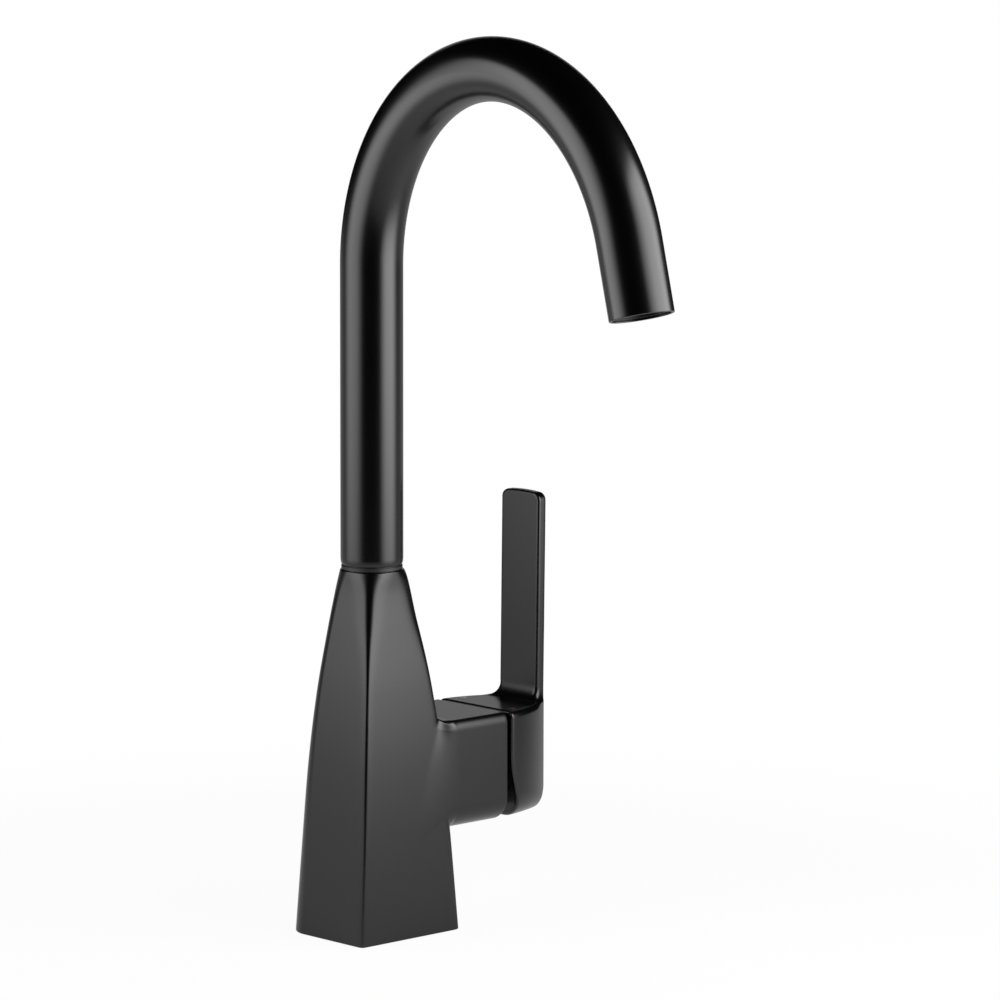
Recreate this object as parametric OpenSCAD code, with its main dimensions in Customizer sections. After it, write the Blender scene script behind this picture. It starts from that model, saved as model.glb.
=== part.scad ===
// Gooseneck bar faucet with a side lever.
// Millimetres. The origin is the centre of the foot on the deck, +Z is up,
// the spout reaches towards -Y and the valve arm with its lever points along +X.

/* [Body] */
// Height of the body's round top above the deck
body_h = 149; // [140:1:160]
// Width of the foot, side to side
base_w = 53.7; // [50:0.1:60]
// Depth of the foot, front to back
base_d = 47.3; // [46:0.1:54]
// Diameter of the body's round top
neck_d = 25.7; // [25.6:0.1:27]
// Rounding of the foot's lower edge
base_edge_r = 0.7; // [0.3:0.1:1.5]
// Rounding of the edge of the round top
neck_edge_r = 0.4; // [0.2:0.1:0.8]

/* [Valve arm] */
// Width of the arm, front to back
arm_w = 44.2; // [42:0.1:46]
// Height of the arm's flat top above the deck
arm_top_z = 86; // [84:0.5:90]
// Height of the arm's underside above the deck
arm_bottom_z = 40.5; // [36:0.5:43]
// Distance of the arm's end face from the body's axis
arm_end_x = 55; // [54:0.5:60]
// Radius of the arm's upper edges
arm_top_r = 2; // [1:0.5:4]
// Radius of the arm's lower edges
arm_bottom_r = 11; // [6:0.5:14]
// Reach of the fillets between arm and body
arm_fillet = 3; // [2.4:0.1:7]
// Rounding of the arm's end edge
arm_edge_r = 0.8; // [0.4:0.1:1.5]

/* [Spout] */
// Outside diameter of the spout tube
tube_d = 25.4; // [25:0.1:26]
// Wall of the spout tube
tube_wall = 1.2; // [1:0.1:1.4]
// Height of the centre of the bend above the deck
bend_z = 272; // [230:1:310]
// Radius of the bend along the tube's centre line
bend_r = 83.6; // [60:0.1:110]
// Angle that the bend turns through
bend_angle = 164.4; // [140:0.1:180]
// Straight length between the bend and the outlet
tip_len = 28.5; // [24:0.5:60]
// Turn of the spout away from straight ahead
spout_turn = -5.5; // [-60:0.5:60]
// Height of the glide ring's two grooves and band together
glide_h = 2; // [1.6:0.1:3]
// Diameter of the glide ring's visible band
glide_band_d = 24.8; // [24.4:0.1:25.2]

/* [Spout socket] */
// Bore of the socket in the body's top
socket_d = 21.2; // [20.6:0.1:21.6]
// Depth of the socket below the body's top
socket_depth = 43; // [41:0.5:48]
// Waterway through the spout's shank
shank_bore_d = 15; // [12:0.5:15.6]
// Length of shank inside the tube
shank_in_tube = 14; // [10:0.5:20]
// Cross-section diameter of the spout's O-rings
oring_d = 1.8; // [1.5:0.1:2]
// Thread diameter of the spout's lock screw
lock_screw_d = 4; // [3:0.5:5]
// Depth of the lock screw's centre below the body's top
lock_depth = 16; // [13:0.5:18]

/* [Outlet] */
// Depth of the aerator's face inside the tube's end
aerator_recess = 1; // [0.5:0.1:2]
// Bore through the aerator's housing
aerator_bore_d = 19.2; // [17:0.1:19.4]
// Length of the aerator's housing
aerator_len = 13; // [11:0.5:16]
// Width of the aerator's square water cells
cell_w = 2.1; // [1.5:0.1:2.6]
// Thickness of the webs between the cells
cell_web = 0.6; // [0.4:0.1:1]

/* [Handle] */
// Distance of the hub's inner face from the arm's end face
handle_gap = 2; // [1.7:0.1:3]
// Distance of the handle's outer face from the body's axis
handle_out_x = 86.1; // [84:0.1:90]
// Radius of the hub's outer lower edge
hub_out_r = 6; // [3:0.5:8]
// Slope of the hub's lower inner face, which gives the lever room to tilt
relief_angle = 14; // [13.5:0.5:17]
// Width of the blade
blade_w = 21; // [18:0.5:24]
// Thickness of the blade
blade_t = 4.8; // [4:0.1:6]
// Height of the blade's top above the deck
blade_top_z = 173; // [150:1:190]
// Lean of the blade away from the body over its length
blade_lean = 1; // [0:0.1:3]
// Radius of the fillet between hub and blade
blade_fillet = 6.5; // [4:0.5:8]
// Radius of the blade's upper corners
blade_corner_r = 3; // [1:0.5:6]
// Rise of the blade's crowned top
blade_crown = 0.7; // [0:0.1:1.5]
// Diameter of the temperature marks
mark_d = 3.3; // [2:0.1:4]

/* [Cartridge] */
// Diameter of the ceramic cartridge
cartridge_d = 35; // [34:0.1:35.6]
// Distance of the cartridge's seat from the body's axis
seat_x = 22; // [21.5:0.1:22.5]
// Thickness of the cartridge's base
base_plate_t = 4; // [3.5:0.1:4.5]
// Diameter of the fixed ceramic disc
fixed_disc_d = 28; // [27.5:0.5:29]
// Thickness of the fixed ceramic disc
fixed_disc_t = 3.5; // [3:0.1:4]
// Diameter of the moving ceramic disc
moving_disc_d = 22.6; // [22.4:0.1:23.2]
// Thickness of the moving ceramic disc
moving_disc_t = 3; // [2.5:0.1:3.5]
// Thickness of the carrier that slides the moving disc
carrier_t = 5.3; // [5:0.1:5.8]
// Diameter of the two inlet ports and the outlet port
port_d = 4.6; // [4.2:0.1:4.6]
// Distance of the inlet ports from the arm's axis, where the outlet port lies
port_r = 8.4; // [8.2:0.1:8.5]
// Diameter of the rotor's neck
neck_bearing_d = 18; // [17:0.5:19]
// Width across the flats of the square lever stem
stem_w = 7; // [6:0.5:7.5]
// Distance from the lever's pivot to the middle of the stem's ball
drive_arm = 10; // [9.6:0.1:10.4]
// Largest tilt of the lever
tilt_max = 13; // [10:0.5:13]
// Thread diameter of the bonnet nut
bonnet_thread_d = 38; // [37:0.5:39]

/* [Deck fixing] */
// Depth of the hollow in the underside
hollow_depth = 22; // [12:0.5:24]
// Diameter of the supply hoses' threads
inlet_d = 10; // [8:0.5:11]
// Diameter of the fixing stud's thread
stud_d = 8; // [6:0.5:8]
// Depth of the inlet and stud threads above the hollow
thread_depth = 12; // [8:0.5:14]
// Thickness of the gasket under the foot
gasket_t = 1.6; // [1:0.1:2.5]

/* [Hidden] */
$fn = 96;

black = "#1c1c1e";
dull_black = "#101011";
brass = "#b58a3c";
steel = "#b9bcc0";
white = "#e9e9e6";
rubber = "#262626";
ceramic = "#d9d4c8";

fit = 0.05;          // running fit on a radius
slip = 0.02;         // close fit between pieces that don't move
play = 0.3;          // free space round a moving piece
cut = 1;             // how far a cutter runs past the face it opens

neck_r = neck_d / 2;
tube_r = tube_d / 2;
tube_bore_r = tube_r - tube_wall;
socket_r = socket_d / 2;
arm_z = (arm_top_z + arm_bottom_z) / 2;
arm_half = arm_w / 2;

// ---------------------------------------------------------------- helpers

function mix(a, b, t) = a + (b - a) * t;

function arc(c, r, from, to, steps) =
    [for (i = [0:steps]) let (a = mix(from, to, i / steps)) c + r * [cos(a), sin(a)]];

// Value k of a shape table at share u: a smooth curve through the rows.
function slope(t, i, k) =
    let (lo = max(i - 1, 0), hi = min(i + 1, len(t) - 1))
    (t[hi][k] - t[lo][k]) / (t[hi][0] - t[lo][0]);

function table_row(t, u) = max([for (i = [0:len(t) - 2]) if (i == 0 || t[i][0] <= u) i]);

function shape_at(t, u, k) =
    let (i = table_row(t, u), h = t[i + 1][0] - t[i][0], s = (u - t[i][0]) / h)
    t[i][k] * (1 + 2 * s) * pow(1 - s, 2) + slope(t, i, k) * h * s * pow(1 - s, 2)
        + t[i + 1][k] * s * s * (3 - 2 * s) + slope(t, i + 1, k) * h * s * s * (s - 1);

// Children stand at distance x from the body's axis with their Z along the arm.
module along_arm(x = 0) {
    translate([x, 0, arm_z]) rotate([0, 90, 0]) children();
}

// Faces that close an outline whose points k and n - k lie side by side, in strips.
function closing_faces(ids) =
    let (n = len(ids))
    concat([for (k = [1:n / 2 - 1]) [ids[n - k], ids[k], ids[k + 1]]],
        [for (k = [0:n / 2 - 2]) [ids[(n - k) % n], ids[k + 1], ids[n - k - 1]]]);

module ring(r_out, r_in, h) {
    linear_extrude(h) difference() {
        circle(r_out);
        circle(r_in);
    }
}

// ---------------------------------------------------------------- cast body

// Share of height, shares of the way from neck to foot in width and in depth,
// squareness of the front corners, and rear corner radius as a share of the half depth.
body_shape = [
    [0, 1, 1, 34, 0.49],
    [0.25, 0.825, 0.885, 29, 0.51],
    [0.47, 0.64, 0.7, 22, 0.49],
    [0.67, 0.4, 0.43, 19, 0.5],
    [0.84, 0.19, 0.18, 7.6, 0.6],
    [0.94, 0.065, 0.05, 3.5, 0.785],
    [1, 0, 0, 2, 1]];

function body_half_w(z) = mix(neck_r, base_w / 2, shape_at(body_shape, z / body_h, 1));
function body_half_d(z) = mix(neck_r, base_d / 2, shape_at(body_shape, z / body_h, 2));

// Directions of the outline's points within one quarter, from the middle of a side.
quarter = [0, 2, 8, 20, 33, 45, 57, 70, 82, 88];
half_cols = 2 * len(quarter);
cols = 2 * half_cols;
function direction(j) = -90 + 90 * floor(j / len(quarter)) + quarter[j % len(quarter)];

// Point of the body's outline at height z in column j, drawn in by an inset.
// Front corners are superellipses and rear corners are arcs.
function body_point(j, z, inset = 0) =
    let (phi = direction(j), c = abs(cos(phi)), s = abs(sin(phi)),
        a = body_half_w(z) - inset, b = body_half_d(z) - inset,
        n = shape_at(body_shape, z / body_h, 3), m = n / (n - 1),
        span = pow(pow(a * c, m) + pow(b * s, m), 1 / m),
        r = b * shape_at(body_shape, z / body_h, 4),
        middle = j % len(quarter) == 0,
        rear = sin(phi) > 0,
        x = rear ? (middle ? a * c : a - r + r * c) : a * pow(a * c / span, m - 1),
        y = rear ? (middle ? b * s : b - r + r * s) : b * pow(b * s / span, m - 1))
    [sign(round(cos(phi) * 1e6)) * x, sign(round(sin(phi) * 1e6)) * y, z];

// Heights of the outlines. The arm leaves the wall between low_row and high_row.
arm_low_z = arm_bottom_z - arm_fillet;
arm_high_z = arm_top_z + arm_fillet;
foot_heights = [0, base_edge_r, arm_low_z / 3, arm_low_z * 2 / 3];
arm_rows = 8;
neck_rows = 12;
heights = concat(foot_heights,
    [for (i = [0:arm_rows - 1]) mix(arm_low_z, arm_high_z, i / arm_rows)],
    [for (i = [0:neck_rows]) mix(arm_high_z, body_h - neck_edge_r, i / neck_rows)],
    [body_h]);
rows = len(heights);
low_row = len(foot_heights);
high_row = low_row + arm_rows;

function row_inset(k) = k == 0 ? base_edge_r : k == rows - 1 ? neck_edge_r : 0;

// Point i of a ring across the arm or the hub: along the bottom, up the rear side,
// back along the top and down the front side. Corners have radii low_r and top_r.
ring_count = 2 * half_cols + 2 * arm_rows;
function ring_part(i) =
    i < half_cols ? 0 : i < half_cols + arm_rows ? 1 : i < 2 * half_cols + arm_rows ? 2 : 3;
function ring_col(i) = ring_part(i) == 0 ? i : 2 * half_cols + arm_rows - i;
function ring_row(i) = ring_part(i) == 1 ? i - half_cols : ring_count - i;
function ring_direction(i) = ring_part(i) % 2 == 0 ? direction(ring_col(i)) : ring_part(i) == 3 ? -90 : 90;

function ring_z(i, low_z, top_z, low_r, top_r) =
    let (p = ring_part(i), c = cos(ring_direction(i)))
    p == 0 ? low_z + low_r - low_r * c
        : p == 2 ? top_z - top_r + top_r * c
        : mix(low_z + low_r, top_z - top_r, ring_row(i) / arm_rows);

function ring_y(i, half, low_r, top_r) =
    let (p = ring_part(i), phi = ring_direction(i), r = p == 0 ? low_r : top_r)
    p == 1 ? half : p == 3 ? -half : sign(round(sin(phi) * 1e6)) * (half - r + r * abs(sin(phi)));

function arm_ring(x, inset) = [for (i = [0:ring_count - 1])
    [x, ring_y(i, arm_half - inset, arm_bottom_r - inset, arm_top_r - inset),
        ring_z(i, arm_bottom_z + inset, arm_top_z - inset, arm_bottom_r - inset, arm_top_r - inset)]];

// Body vertex that the arm's ring point i starts from.
function root_row(i) = ring_part(i) == 0 ? low_row : ring_part(i) == 2 ? high_row : low_row + ring_row(i);
function root_col(i) = ring_part(i) == 1 ? half_cols : ring_part(i) == 3 ? 0 : ring_col(i);

// The blend from body to arm: every ring point runs down the wall, or along the front
// or rear face, and turns into the arm on a cubic curve.
arm_root_gap = 1.2;
arm_root_x = base_w / 2 + arm_root_gap;
wall_run = 0.7 * arm_fillet;
blend_steps = 6;
function along_face(i) = pow(abs(ring_direction(i)) / 90, 6);
function wall_point(i) =
    let (z = heights[root_row(i)])
    body_point(root_col(i), ring_part(i) == 0 ? z + wall_run : ring_part(i) == 2 ? z - wall_run : z);
function cubic(a, b, c, d, t) =
    a * pow(1 - t, 3) + 3 * b * t * pow(1 - t, 2) + 3 * c * t * t * (1 - t) + d * pow(t, 3);

// Share of the way from the body's depth to the arm's depth. The arm swells out of the
// front and rear faces below its top edge, and that edge starts at the body's corner.
swell_h = 20;
swell_run = 6;
function ease(u) = let (v = min(1, max(0, u))) v * v * (3 - 2 * v);
function swell(x, z) = ease(x / arm_root_x)
    * ease((arm_top_z - z) / swell_h + ease((x - body_half_w(arm_top_z) + 1) / swell_run));
function swell_y(p) = mix(body_half_d(p.z), arm_half, swell(p.x, p.z));

arm_start = arm_ring(arm_root_x, 0);
function blend_point(i, t) =
    let (from = body_point(root_col(i), heights[root_row(i)]), to = arm_start[i],
        run = to.x - from.x, w = along_face(i),
        leave = mix(wall_point(i), from + [run / 3, 0, 0], w),
        arrive = to - [run * mix(0.7, 1 / 3, w), 0, 0],
        p = cubic(from, leave, arrive, to, t),
        inset = mix(swell_y(from) - abs(from.y), arm_half - abs(to.y), t),
        y = swell_y(p) - inset)
    [p.x, mix(p.y, sign(ring_direction(i)) * y, min(1, abs(ring_direction(i)) / 30)), p.z];

arm_rings = concat(
    [for (k = [1:blend_steps]) [for (i = [0:ring_count - 1]) blend_point(i, k / blend_steps)]],
    [arm_ring(arm_end_x - arm_edge_r, 0), arm_ring(arm_end_x, arm_edge_r)]);

function wall_id(k, j) = k * cols + j % cols;
function ring_id(k, i) =
    k == 0 ? wall_id(root_row(i % ring_count), root_col(i % ring_count))
        : rows * cols + (k - 1) * ring_count + i % ring_count;

module cast_shape() {
    points = concat(
        [for (k = [0:rows - 1]) for (j = [0:cols - 1]) body_point(j, heights[k], row_inset(k))],
        [for (one = arm_rings) each one]);
    wall = [for (k = [0:rows - 2]) for (j = [0:cols - 1])
        if (k < low_row || k >= high_row || j >= half_cols)
            each [[wall_id(k, j), wall_id(k + 1, j), wall_id(k + 1, j + 1)],
                [wall_id(k, j), wall_id(k + 1, j + 1), wall_id(k, j + 1)]]];
    arm = [for (k = [0:len(arm_rings) - 1]) for (i = [0:ring_count - 1])
        each [[ring_id(k, i), ring_id(k + 1, i), ring_id(k + 1, i + 1)],
            [ring_id(k, i), ring_id(k + 1, i + 1), ring_id(k, i + 1)]]];
    foot = closing_faces([for (j = [0:cols - 1]) wall_id(0, j)]);
    top = closing_faces([for (j = [cols:-1:1]) wall_id(rows - 1, j)]);
    end = closing_faces([for (i = [ring_count:-1:1]) ring_id(len(arm_rings), half_cols / 2 + i)]);
    polyhedron(points, concat(wall, arm, foot, top, end), convexity = 6);
}

// Places of the hidden features of the casting
bore_r = cartridge_d / 2 + 0.15;
nut_r = bonnet_thread_d / 2;
flow_r = 5.5;
riser_r = 2.8;
blind = 0.6;          // how far a drilled way runs past the one that crosses it
inlet_at = [7, 8];
stud_at = [-11, 0];
seat_depth = arm_end_x - seat_x;
port_side = port_r * sin(45);
socket_floor_z = body_h - socket_depth;
hollow_wall = 4;
hollow_r = 8;
gasket_groove_w = 2.6;
lock_z = body_h - lock_depth;

module rounded_square(w, d, r) {
    square([w - 2 * r, d], center = true);
    square([w, d - 2 * r], center = true);
    for (x = [-1, 1]) for (y = [-1, 1]) translate([x * (w / 2 - r), y * (d / 2 - r)]) circle(r);
}

// Cartridge ports on the seat: hot above in front, cold above behind, and the outlet
// for mixed water on the arm's axis.
module at_ports() {
    for (y = [-1, 1]) translate([0, y * port_side, port_side]) children();
    children();
}

module body() {
    color(black) difference() {
        cast_shape();
        // hollow of the foot and the gasket's step
        translate([0, 0, -cut]) linear_extrude(hollow_depth + cut)
            rounded_square(base_w - 2 * (hollow_wall + 2), base_d - 2 * (hollow_wall + 1), hollow_r);
        translate([0, 0, -cut]) linear_extrude(gasket_t + cut)
            rounded_square(base_w - 2 * hollow_wall, base_d - 2 * (hollow_wall - 1), hollow_r + 1.5);
        // supply threads and the ways up to the cartridge's seat
        for (y = [-1, 1]) {
            translate([inlet_at.x, y * inlet_at.y, hollow_depth - cut]) cylinder(d = inlet_d, h = thread_depth + cut);
            translate([inlet_at.x, y * inlet_at.y, hollow_depth])
                cylinder(r = riser_r, h = arm_z + port_side + port_d / 2 + blind - hollow_depth);
            translate([inlet_at.x, y * port_side, arm_z + port_side]) rotate([0, 90, 0])
                cylinder(d = port_d, h = seat_x - inlet_at.x + cut);
        }
        // fixing stud
        translate([stud_at.x, stud_at.y, hollow_depth - cut]) cylinder(d = stud_d, h = thread_depth + cut);
        // mixed water to the spout's socket
        along_arm() cylinder(d = port_d, h = seat_x + cut);
        translate([0, 0, arm_z - port_d / 2 - blind])
            cylinder(r = flow_r, h = socket_floor_z - arm_z + port_d / 2 + blind + cut);
        translate([0, 0, socket_floor_z]) cylinder(r = socket_r, h = socket_depth + cut);
        // cartridge bore and the bonnet nut's thread
        along_arm(seat_x) cylinder(r = bore_r, h = seat_depth + cut);
        along_arm(nut_x) cylinder(r = nut_r, h = arm_end_x - nut_x + cut);
        // lock screw at the back
        translate([0, socket_r - cut, lock_z]) rotate([-90, 0, 0]) cylinder(d = lock_screw_d, h = base_d / 2);
    }
}

module base_gasket() {
    color(rubber) linear_extrude(gasket_t - slip) difference() {
        rounded_square(base_w - 2 * (hollow_wall + slip), base_d - 2 * (hollow_wall - 1 + slip), hollow_r + 1.5);
        rounded_square(base_w - 2 * (hollow_wall + 2), base_d - 2 * (hollow_wall + 1), hollow_r);
    }
}

// ---------------------------------------------------------------- spout

spout_z = body_h + glide_h + fit;
lip_r = 0.7;          // how far the tube's lower edge is turned in
lip_h = 3;            // over what height
tip_step = 0.02;      // the straight end's wall is this much fuller than the bend's, inside and out
tip_overlap = 0.5;    // and takes in this much of the bend
tip_bore_r = tube_bore_r - tip_step;

module spout_plane() {
    rotate([0, 0, spout_turn]) children();
}

// Children stand at the end of the bend with their Z along the tube, towards the outlet.
module at_tip(back = 0) {
    spout_plane() translate([0, -bend_r, bend_z]) rotate([bend_angle, 0, 0])
        translate([0, bend_r, tip_len - back]) children();
}

module spout_tube() {
    color(black) union() {
        spout_plane() rotate_extrude() polygon([
            [tube_bore_r, spout_z], [tube_r - lip_r, spout_z],
            each [for (a = [30, 60]) [tube_r - lip_r * (1 - sin(a)), spout_z + lip_h * (1 - cos(a))]],
            [tube_r, spout_z + lip_h], [tube_r, bend_z], [tube_bore_r, bend_z]]);
        spout_plane() translate([0, -bend_r, bend_z]) rotate([90, 0, 90])
            rotate_extrude(angle = bend_angle) translate([bend_r, 0]) difference() {
                circle(tube_r);
                circle(tube_bore_r);
            }
        at_tip(tip_len + tip_overlap) ring(tube_r + tip_step, tip_bore_r, tip_len + tip_overlap);
    }
}

// Grooves of the shank, measured down from the body's top
shank_r = socket_r - 0.35;
shank_end_z = socket_floor_z + 2;
oring_r = oring_d / 2;
oring_centre_r = socket_r - fit - oring_r;
oring_groove_r = oring_centre_r - oring_r - slip;
oring_groove_h = oring_d + 0.4;
oring_depths = [22, 27];
bush_h = 4;
bush_depth = socket_depth - 7;
bush_groove_r = shank_r - 0.9;
lock_groove_h = lock_screw_d + 0.6;
lock_groove_r = shank_r - 1.4;

module groove(z, h, r) {
    translate([0, 0, z - h / 2]) ring(shank_r + cut, r, h);
}

module spout_shank() {
    color(brass) difference() {
        union() {
            translate([0, 0, shank_end_z]) cylinder(r = shank_r, h = spout_z - shank_end_z);
            translate([0, 0, spout_z]) cylinder(r = tube_bore_r - slip, h = shank_in_tube);
        }
        translate([0, 0, shank_end_z - cut])
            cylinder(d = shank_bore_d, h = spout_z + shank_in_tube - shank_end_z + 2 * cut);
        for (d = oring_depths) groove(body_h - d, oring_groove_h, oring_groove_r);
        groove(body_h - bush_depth, bush_h + 2 * slip, bush_groove_r);
        groove(lock_z, lock_groove_h, lock_groove_r);
    }
}

// The band shows between the two dark grooves; its core carries the spout.
module glide_ring() {
    core_r = tube_bore_r + 0.25;
    groove_h = 0.4;
    color(dull_black) rotate_extrude() polygon([
        [shank_r + fit, body_h], [core_r, body_h], [core_r, body_h + groove_h],
        [glide_band_d / 2, body_h + groove_h], [glide_band_d / 2, body_h + glide_h - groove_h],
        [core_r, body_h + glide_h - groove_h], [core_r, body_h + glide_h], [shank_r + fit, body_h + glide_h]]);
}

module lower_glide_ring() {
    color(white) translate([0, 0, body_h - bush_depth - bush_h / 2])
        ring(socket_r - fit, bush_groove_r + slip, bush_h);
}

module spout_orings() {
    color(rubber) for (d = oring_depths)
        translate([0, 0, body_h - d]) rotate_extrude() translate([oring_centre_r, 0]) circle(oring_r);
}

module spout_lock_screw() {
    tip_y = lock_groove_r + play;
    screw_len = body_half_d(lock_z) - 0.5 - tip_y;
    color(steel) translate([0, tip_y, lock_z]) rotate([-90, 0, 0]) difference() {
        cylinder(r = lock_screw_d / 2 - slip, h = screw_len);
        translate([0, 0, screw_len / 2]) cylinder(d = lock_screw_d / 2, h = screw_len, $fn = 6);
    }
}

// ---------------------------------------------------------------- outlet

bushing_wall = 0.85;
flange_t = 2;
thread_r = tip_bore_r - bushing_wall - slip;
aerator_r = aerator_bore_d / 2;
washer_t = 1.6;
cells_t = 2.4;
screen_t = 0.8;
cells_back = aerator_recess + flange_t + cells_t;
screen_back = aerator_recess + aerator_len - 3;
washer_back = aerator_recess + aerator_len + washer_t;
shoulder_t = 2;
bushing_back = washer_back + shoulder_t + slip;

module tip_bushing() {
    bush_r = tip_bore_r - slip;
    mouth_back = aerator_recess + flange_t + slip;
    color(brass) difference() {
        at_tip(bushing_back) cylinder(r = bush_r, h = bushing_back - mouth_back);
        at_tip(washer_back + slip) cylinder(r = thread_r + slip, h = washer_back);
        at_tip(bushing_back + cut) cylinder(r = thread_r - 2.2, h = bushing_back);
    }
}

module aerator_housing() {
    lip = 0.9;
    color(dull_black) difference() {
        union() {
            at_tip(aerator_recess + flange_t) cylinder(r = tip_bore_r - slip, h = flange_t);
            at_tip(aerator_recess + aerator_len) cylinder(r = thread_r, h = aerator_len - flange_t);
        }
        at_tip(aerator_recess + aerator_len - lip) cylinder(r = aerator_r, h = aerator_len);
        at_tip(aerator_recess + aerator_len + cut) cylinder(r = aerator_r - lip, h = aerator_len);
    }
}

module aerator_washer() {
    color(rubber) at_tip(washer_back) ring(thread_r, aerator_r - 1.6, washer_t - slip);
}

module aerator_screen() {
    hole_r = 0.9;
    pitch = 3;
    color(steel) at_tip(screen_back) linear_extrude(screen_t) difference() {
        circle(aerator_r - slip);
        circle(hole_r);
        for (k = [1, 2]) for (a = [0:60 / k:359]) rotate(a) translate([k * pitch, 0]) circle(hole_r);
    }
}

module aerator_cells() {
    pitch = cell_w + cell_web;
    reach = floor((aerator_r - 1) / pitch);
    color(dull_black) at_tip(cells_back) linear_extrude(cells_t) difference() {
        circle(aerator_r - slip);
        for (i = [-reach:reach]) for (j = [-reach:reach])
            if (norm([abs(i) * pitch + cell_w / 2, abs(j) * pitch + cell_w / 2]) < aerator_r - 0.8)
                translate([i, j] * pitch) square(cell_w, center = true);
    }
}

// ---------------------------------------------------------------- cartridge

// Faces along the arm, from the seat outwards
plate_x = seat_x + 0.1;
fixed_x = plate_x + base_plate_t;
moving_x = fixed_x + fixed_disc_t + slip;
carrier_x = moving_x + moving_disc_t;
carrier_end_x = carrier_x + carrier_t;
flange_x = carrier_end_x + 0.2;
rotor_flange_t = 2.6;
roof_x = flange_x + rotor_flange_t + 0.2;
roof_t = 2.5;
nut_x = roof_x + roof_t;
nut_len = 8;
nut_end_x = nut_x + nut_len;
neck_end_x = nut_end_x + 0.4;
ball_r = 2.6;
ball_x = carrier_end_x - 1;
pivot_x = ball_x + drive_arm;
pin_r = 1.5;

housing_r = cartridge_d / 2;
chamber_r = housing_r - 1.4;
bearing_r = neck_bearing_d / 2;
carrier_r = chamber_r - 3;
rail_y = 11.5;
stem_half = stem_w / 2;
slot_half = stem_half + play + (neck_end_x - pivot_x) * tan(tilt_max) + 0.4;
seal_r = 0.75;
seal_ring_r = port_d / 2 + seal_r + 0.1;

module cartridge_base() {
    color(white) difference() {
        along_arm(plate_x) cylinder(r = housing_r, h = base_plate_t);
        translate([plate_x - cut, 0, arm_z]) at_ports() rotate([0, 90, 0]) cylinder(d = port_d, h = base_plate_t + 2 * cut);
        translate([plate_x - cut, 0, arm_z]) at_ports() rotate([0, 90, 0])
            ring(seal_ring_r + seal_r + slip, seal_ring_r - seal_r - slip, cut + 2 * seal_r - 0.05);
    }
}

module port_seals() {
    color(rubber) translate([plate_x + seal_r - 0.08, 0, arm_z]) at_ports() rotate([0, 90, 0])
        rotate_extrude() translate([seal_ring_r, 0]) circle(seal_r);
}

module fixed_disc() {
    color(ceramic) difference() {
        along_arm(fixed_x) cylinder(d = fixed_disc_d, h = fixed_disc_t);
        translate([fixed_x - cut, 0, arm_z]) at_ports() rotate([0, 90, 0]) cylinder(d = port_d, h = fixed_disc_t + 2 * cut);
    }
}

// At rest its recess lies over the outlet alone. Slid upwards it reaches both inlets,
// and turned to one side it reaches only one of them.
module moving_disc() {
    recess_depth = 1.6;
    land = 0.5;
    color(ceramic) difference() {
        along_arm(moving_x) cylinder(d = moving_disc_d, h = moving_disc_t);
        along_arm(moving_x - cut) cylinder(r = port_r - port_d / 2 - land, h = recess_depth + cut);
    }
}

module disc_carrier() {
    color(white) difference() {
        intersection() {
            along_arm(carrier_x) cylinder(r = carrier_r, h = carrier_t);
            translate([carrier_x - cut, -rail_y + play, arm_z - carrier_r])
                cube([carrier_t + 2 * cut, 2 * (rail_y - play), 2 * carrier_r]);
        }
        along_arm(ball_x - ball_r - 0.4) cylinder(r = ball_r + play, h = carrier_t + cut);
    }
}

// Flange, two rails for the carrier, and a slotted neck that holds the pin.
module rotor() {
    rail_depth = 2.5;
    color(white) difference() {
        union() {
            along_arm(flange_x) cylinder(r = chamber_r - play, h = rotor_flange_t);
            along_arm(flange_x) cylinder(r = bearing_r - fit, h = neck_end_x - flange_x);
            for (y = [-1, 1]) intersection() {
                along_arm(flange_x - rail_depth) cylinder(r = chamber_r - play, h = rail_depth + cut);
                translate([flange_x - rail_depth, y > 0 ? rail_y : -rail_y - chamber_r, arm_z - chamber_r])
                    cube([rail_depth + cut, chamber_r, 2 * chamber_r]);
            }
        }
        translate([flange_x - cut, -stem_half - play, arm_z - slot_half])
            cube([neck_end_x - flange_x + 2 * cut, stem_w + 2 * play, 2 * slot_half]);
        translate([pivot_x, 0, arm_z]) rotate([90, 0, 0]) cylinder(r = pin_r + slip, h = 2 * housing_r, center = true);
    }
}

module pivot_pin() {
    pin_len = 2 * sqrt(pow(bearing_r, 2) - pow(pin_r, 2)) - 0.8;
    color(steel) translate([pivot_x, 0, arm_z]) rotate([90, 0, 0]) cylinder(r = pin_r, h = pin_len, center = true);
}

module cartridge_housing() {
    color(white) difference() {
        along_arm(fixed_x) cylinder(r = housing_r, h = nut_x - fixed_x);
        along_arm(fixed_x - cut) cylinder(r = chamber_r, h = roof_x - fixed_x + cut);
        along_arm(roof_x - cut) cylinder(r = bearing_r, h = roof_t + 2 * cut);
    }
}

module bonnet_nut() {
    hex_w = 27;
    color(brass) difference() {
        along_arm(nut_x) cylinder(r = nut_r - slip, h = nut_len);
        along_arm(nut_x - cut) cylinder(r = bearing_r + 1, h = nut_len + 2 * cut);
        along_arm(nut_end_x - 3) cylinder(d = hex_w / cos(30), h = 3 + cut, $fn = 6);
    }
}

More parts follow.
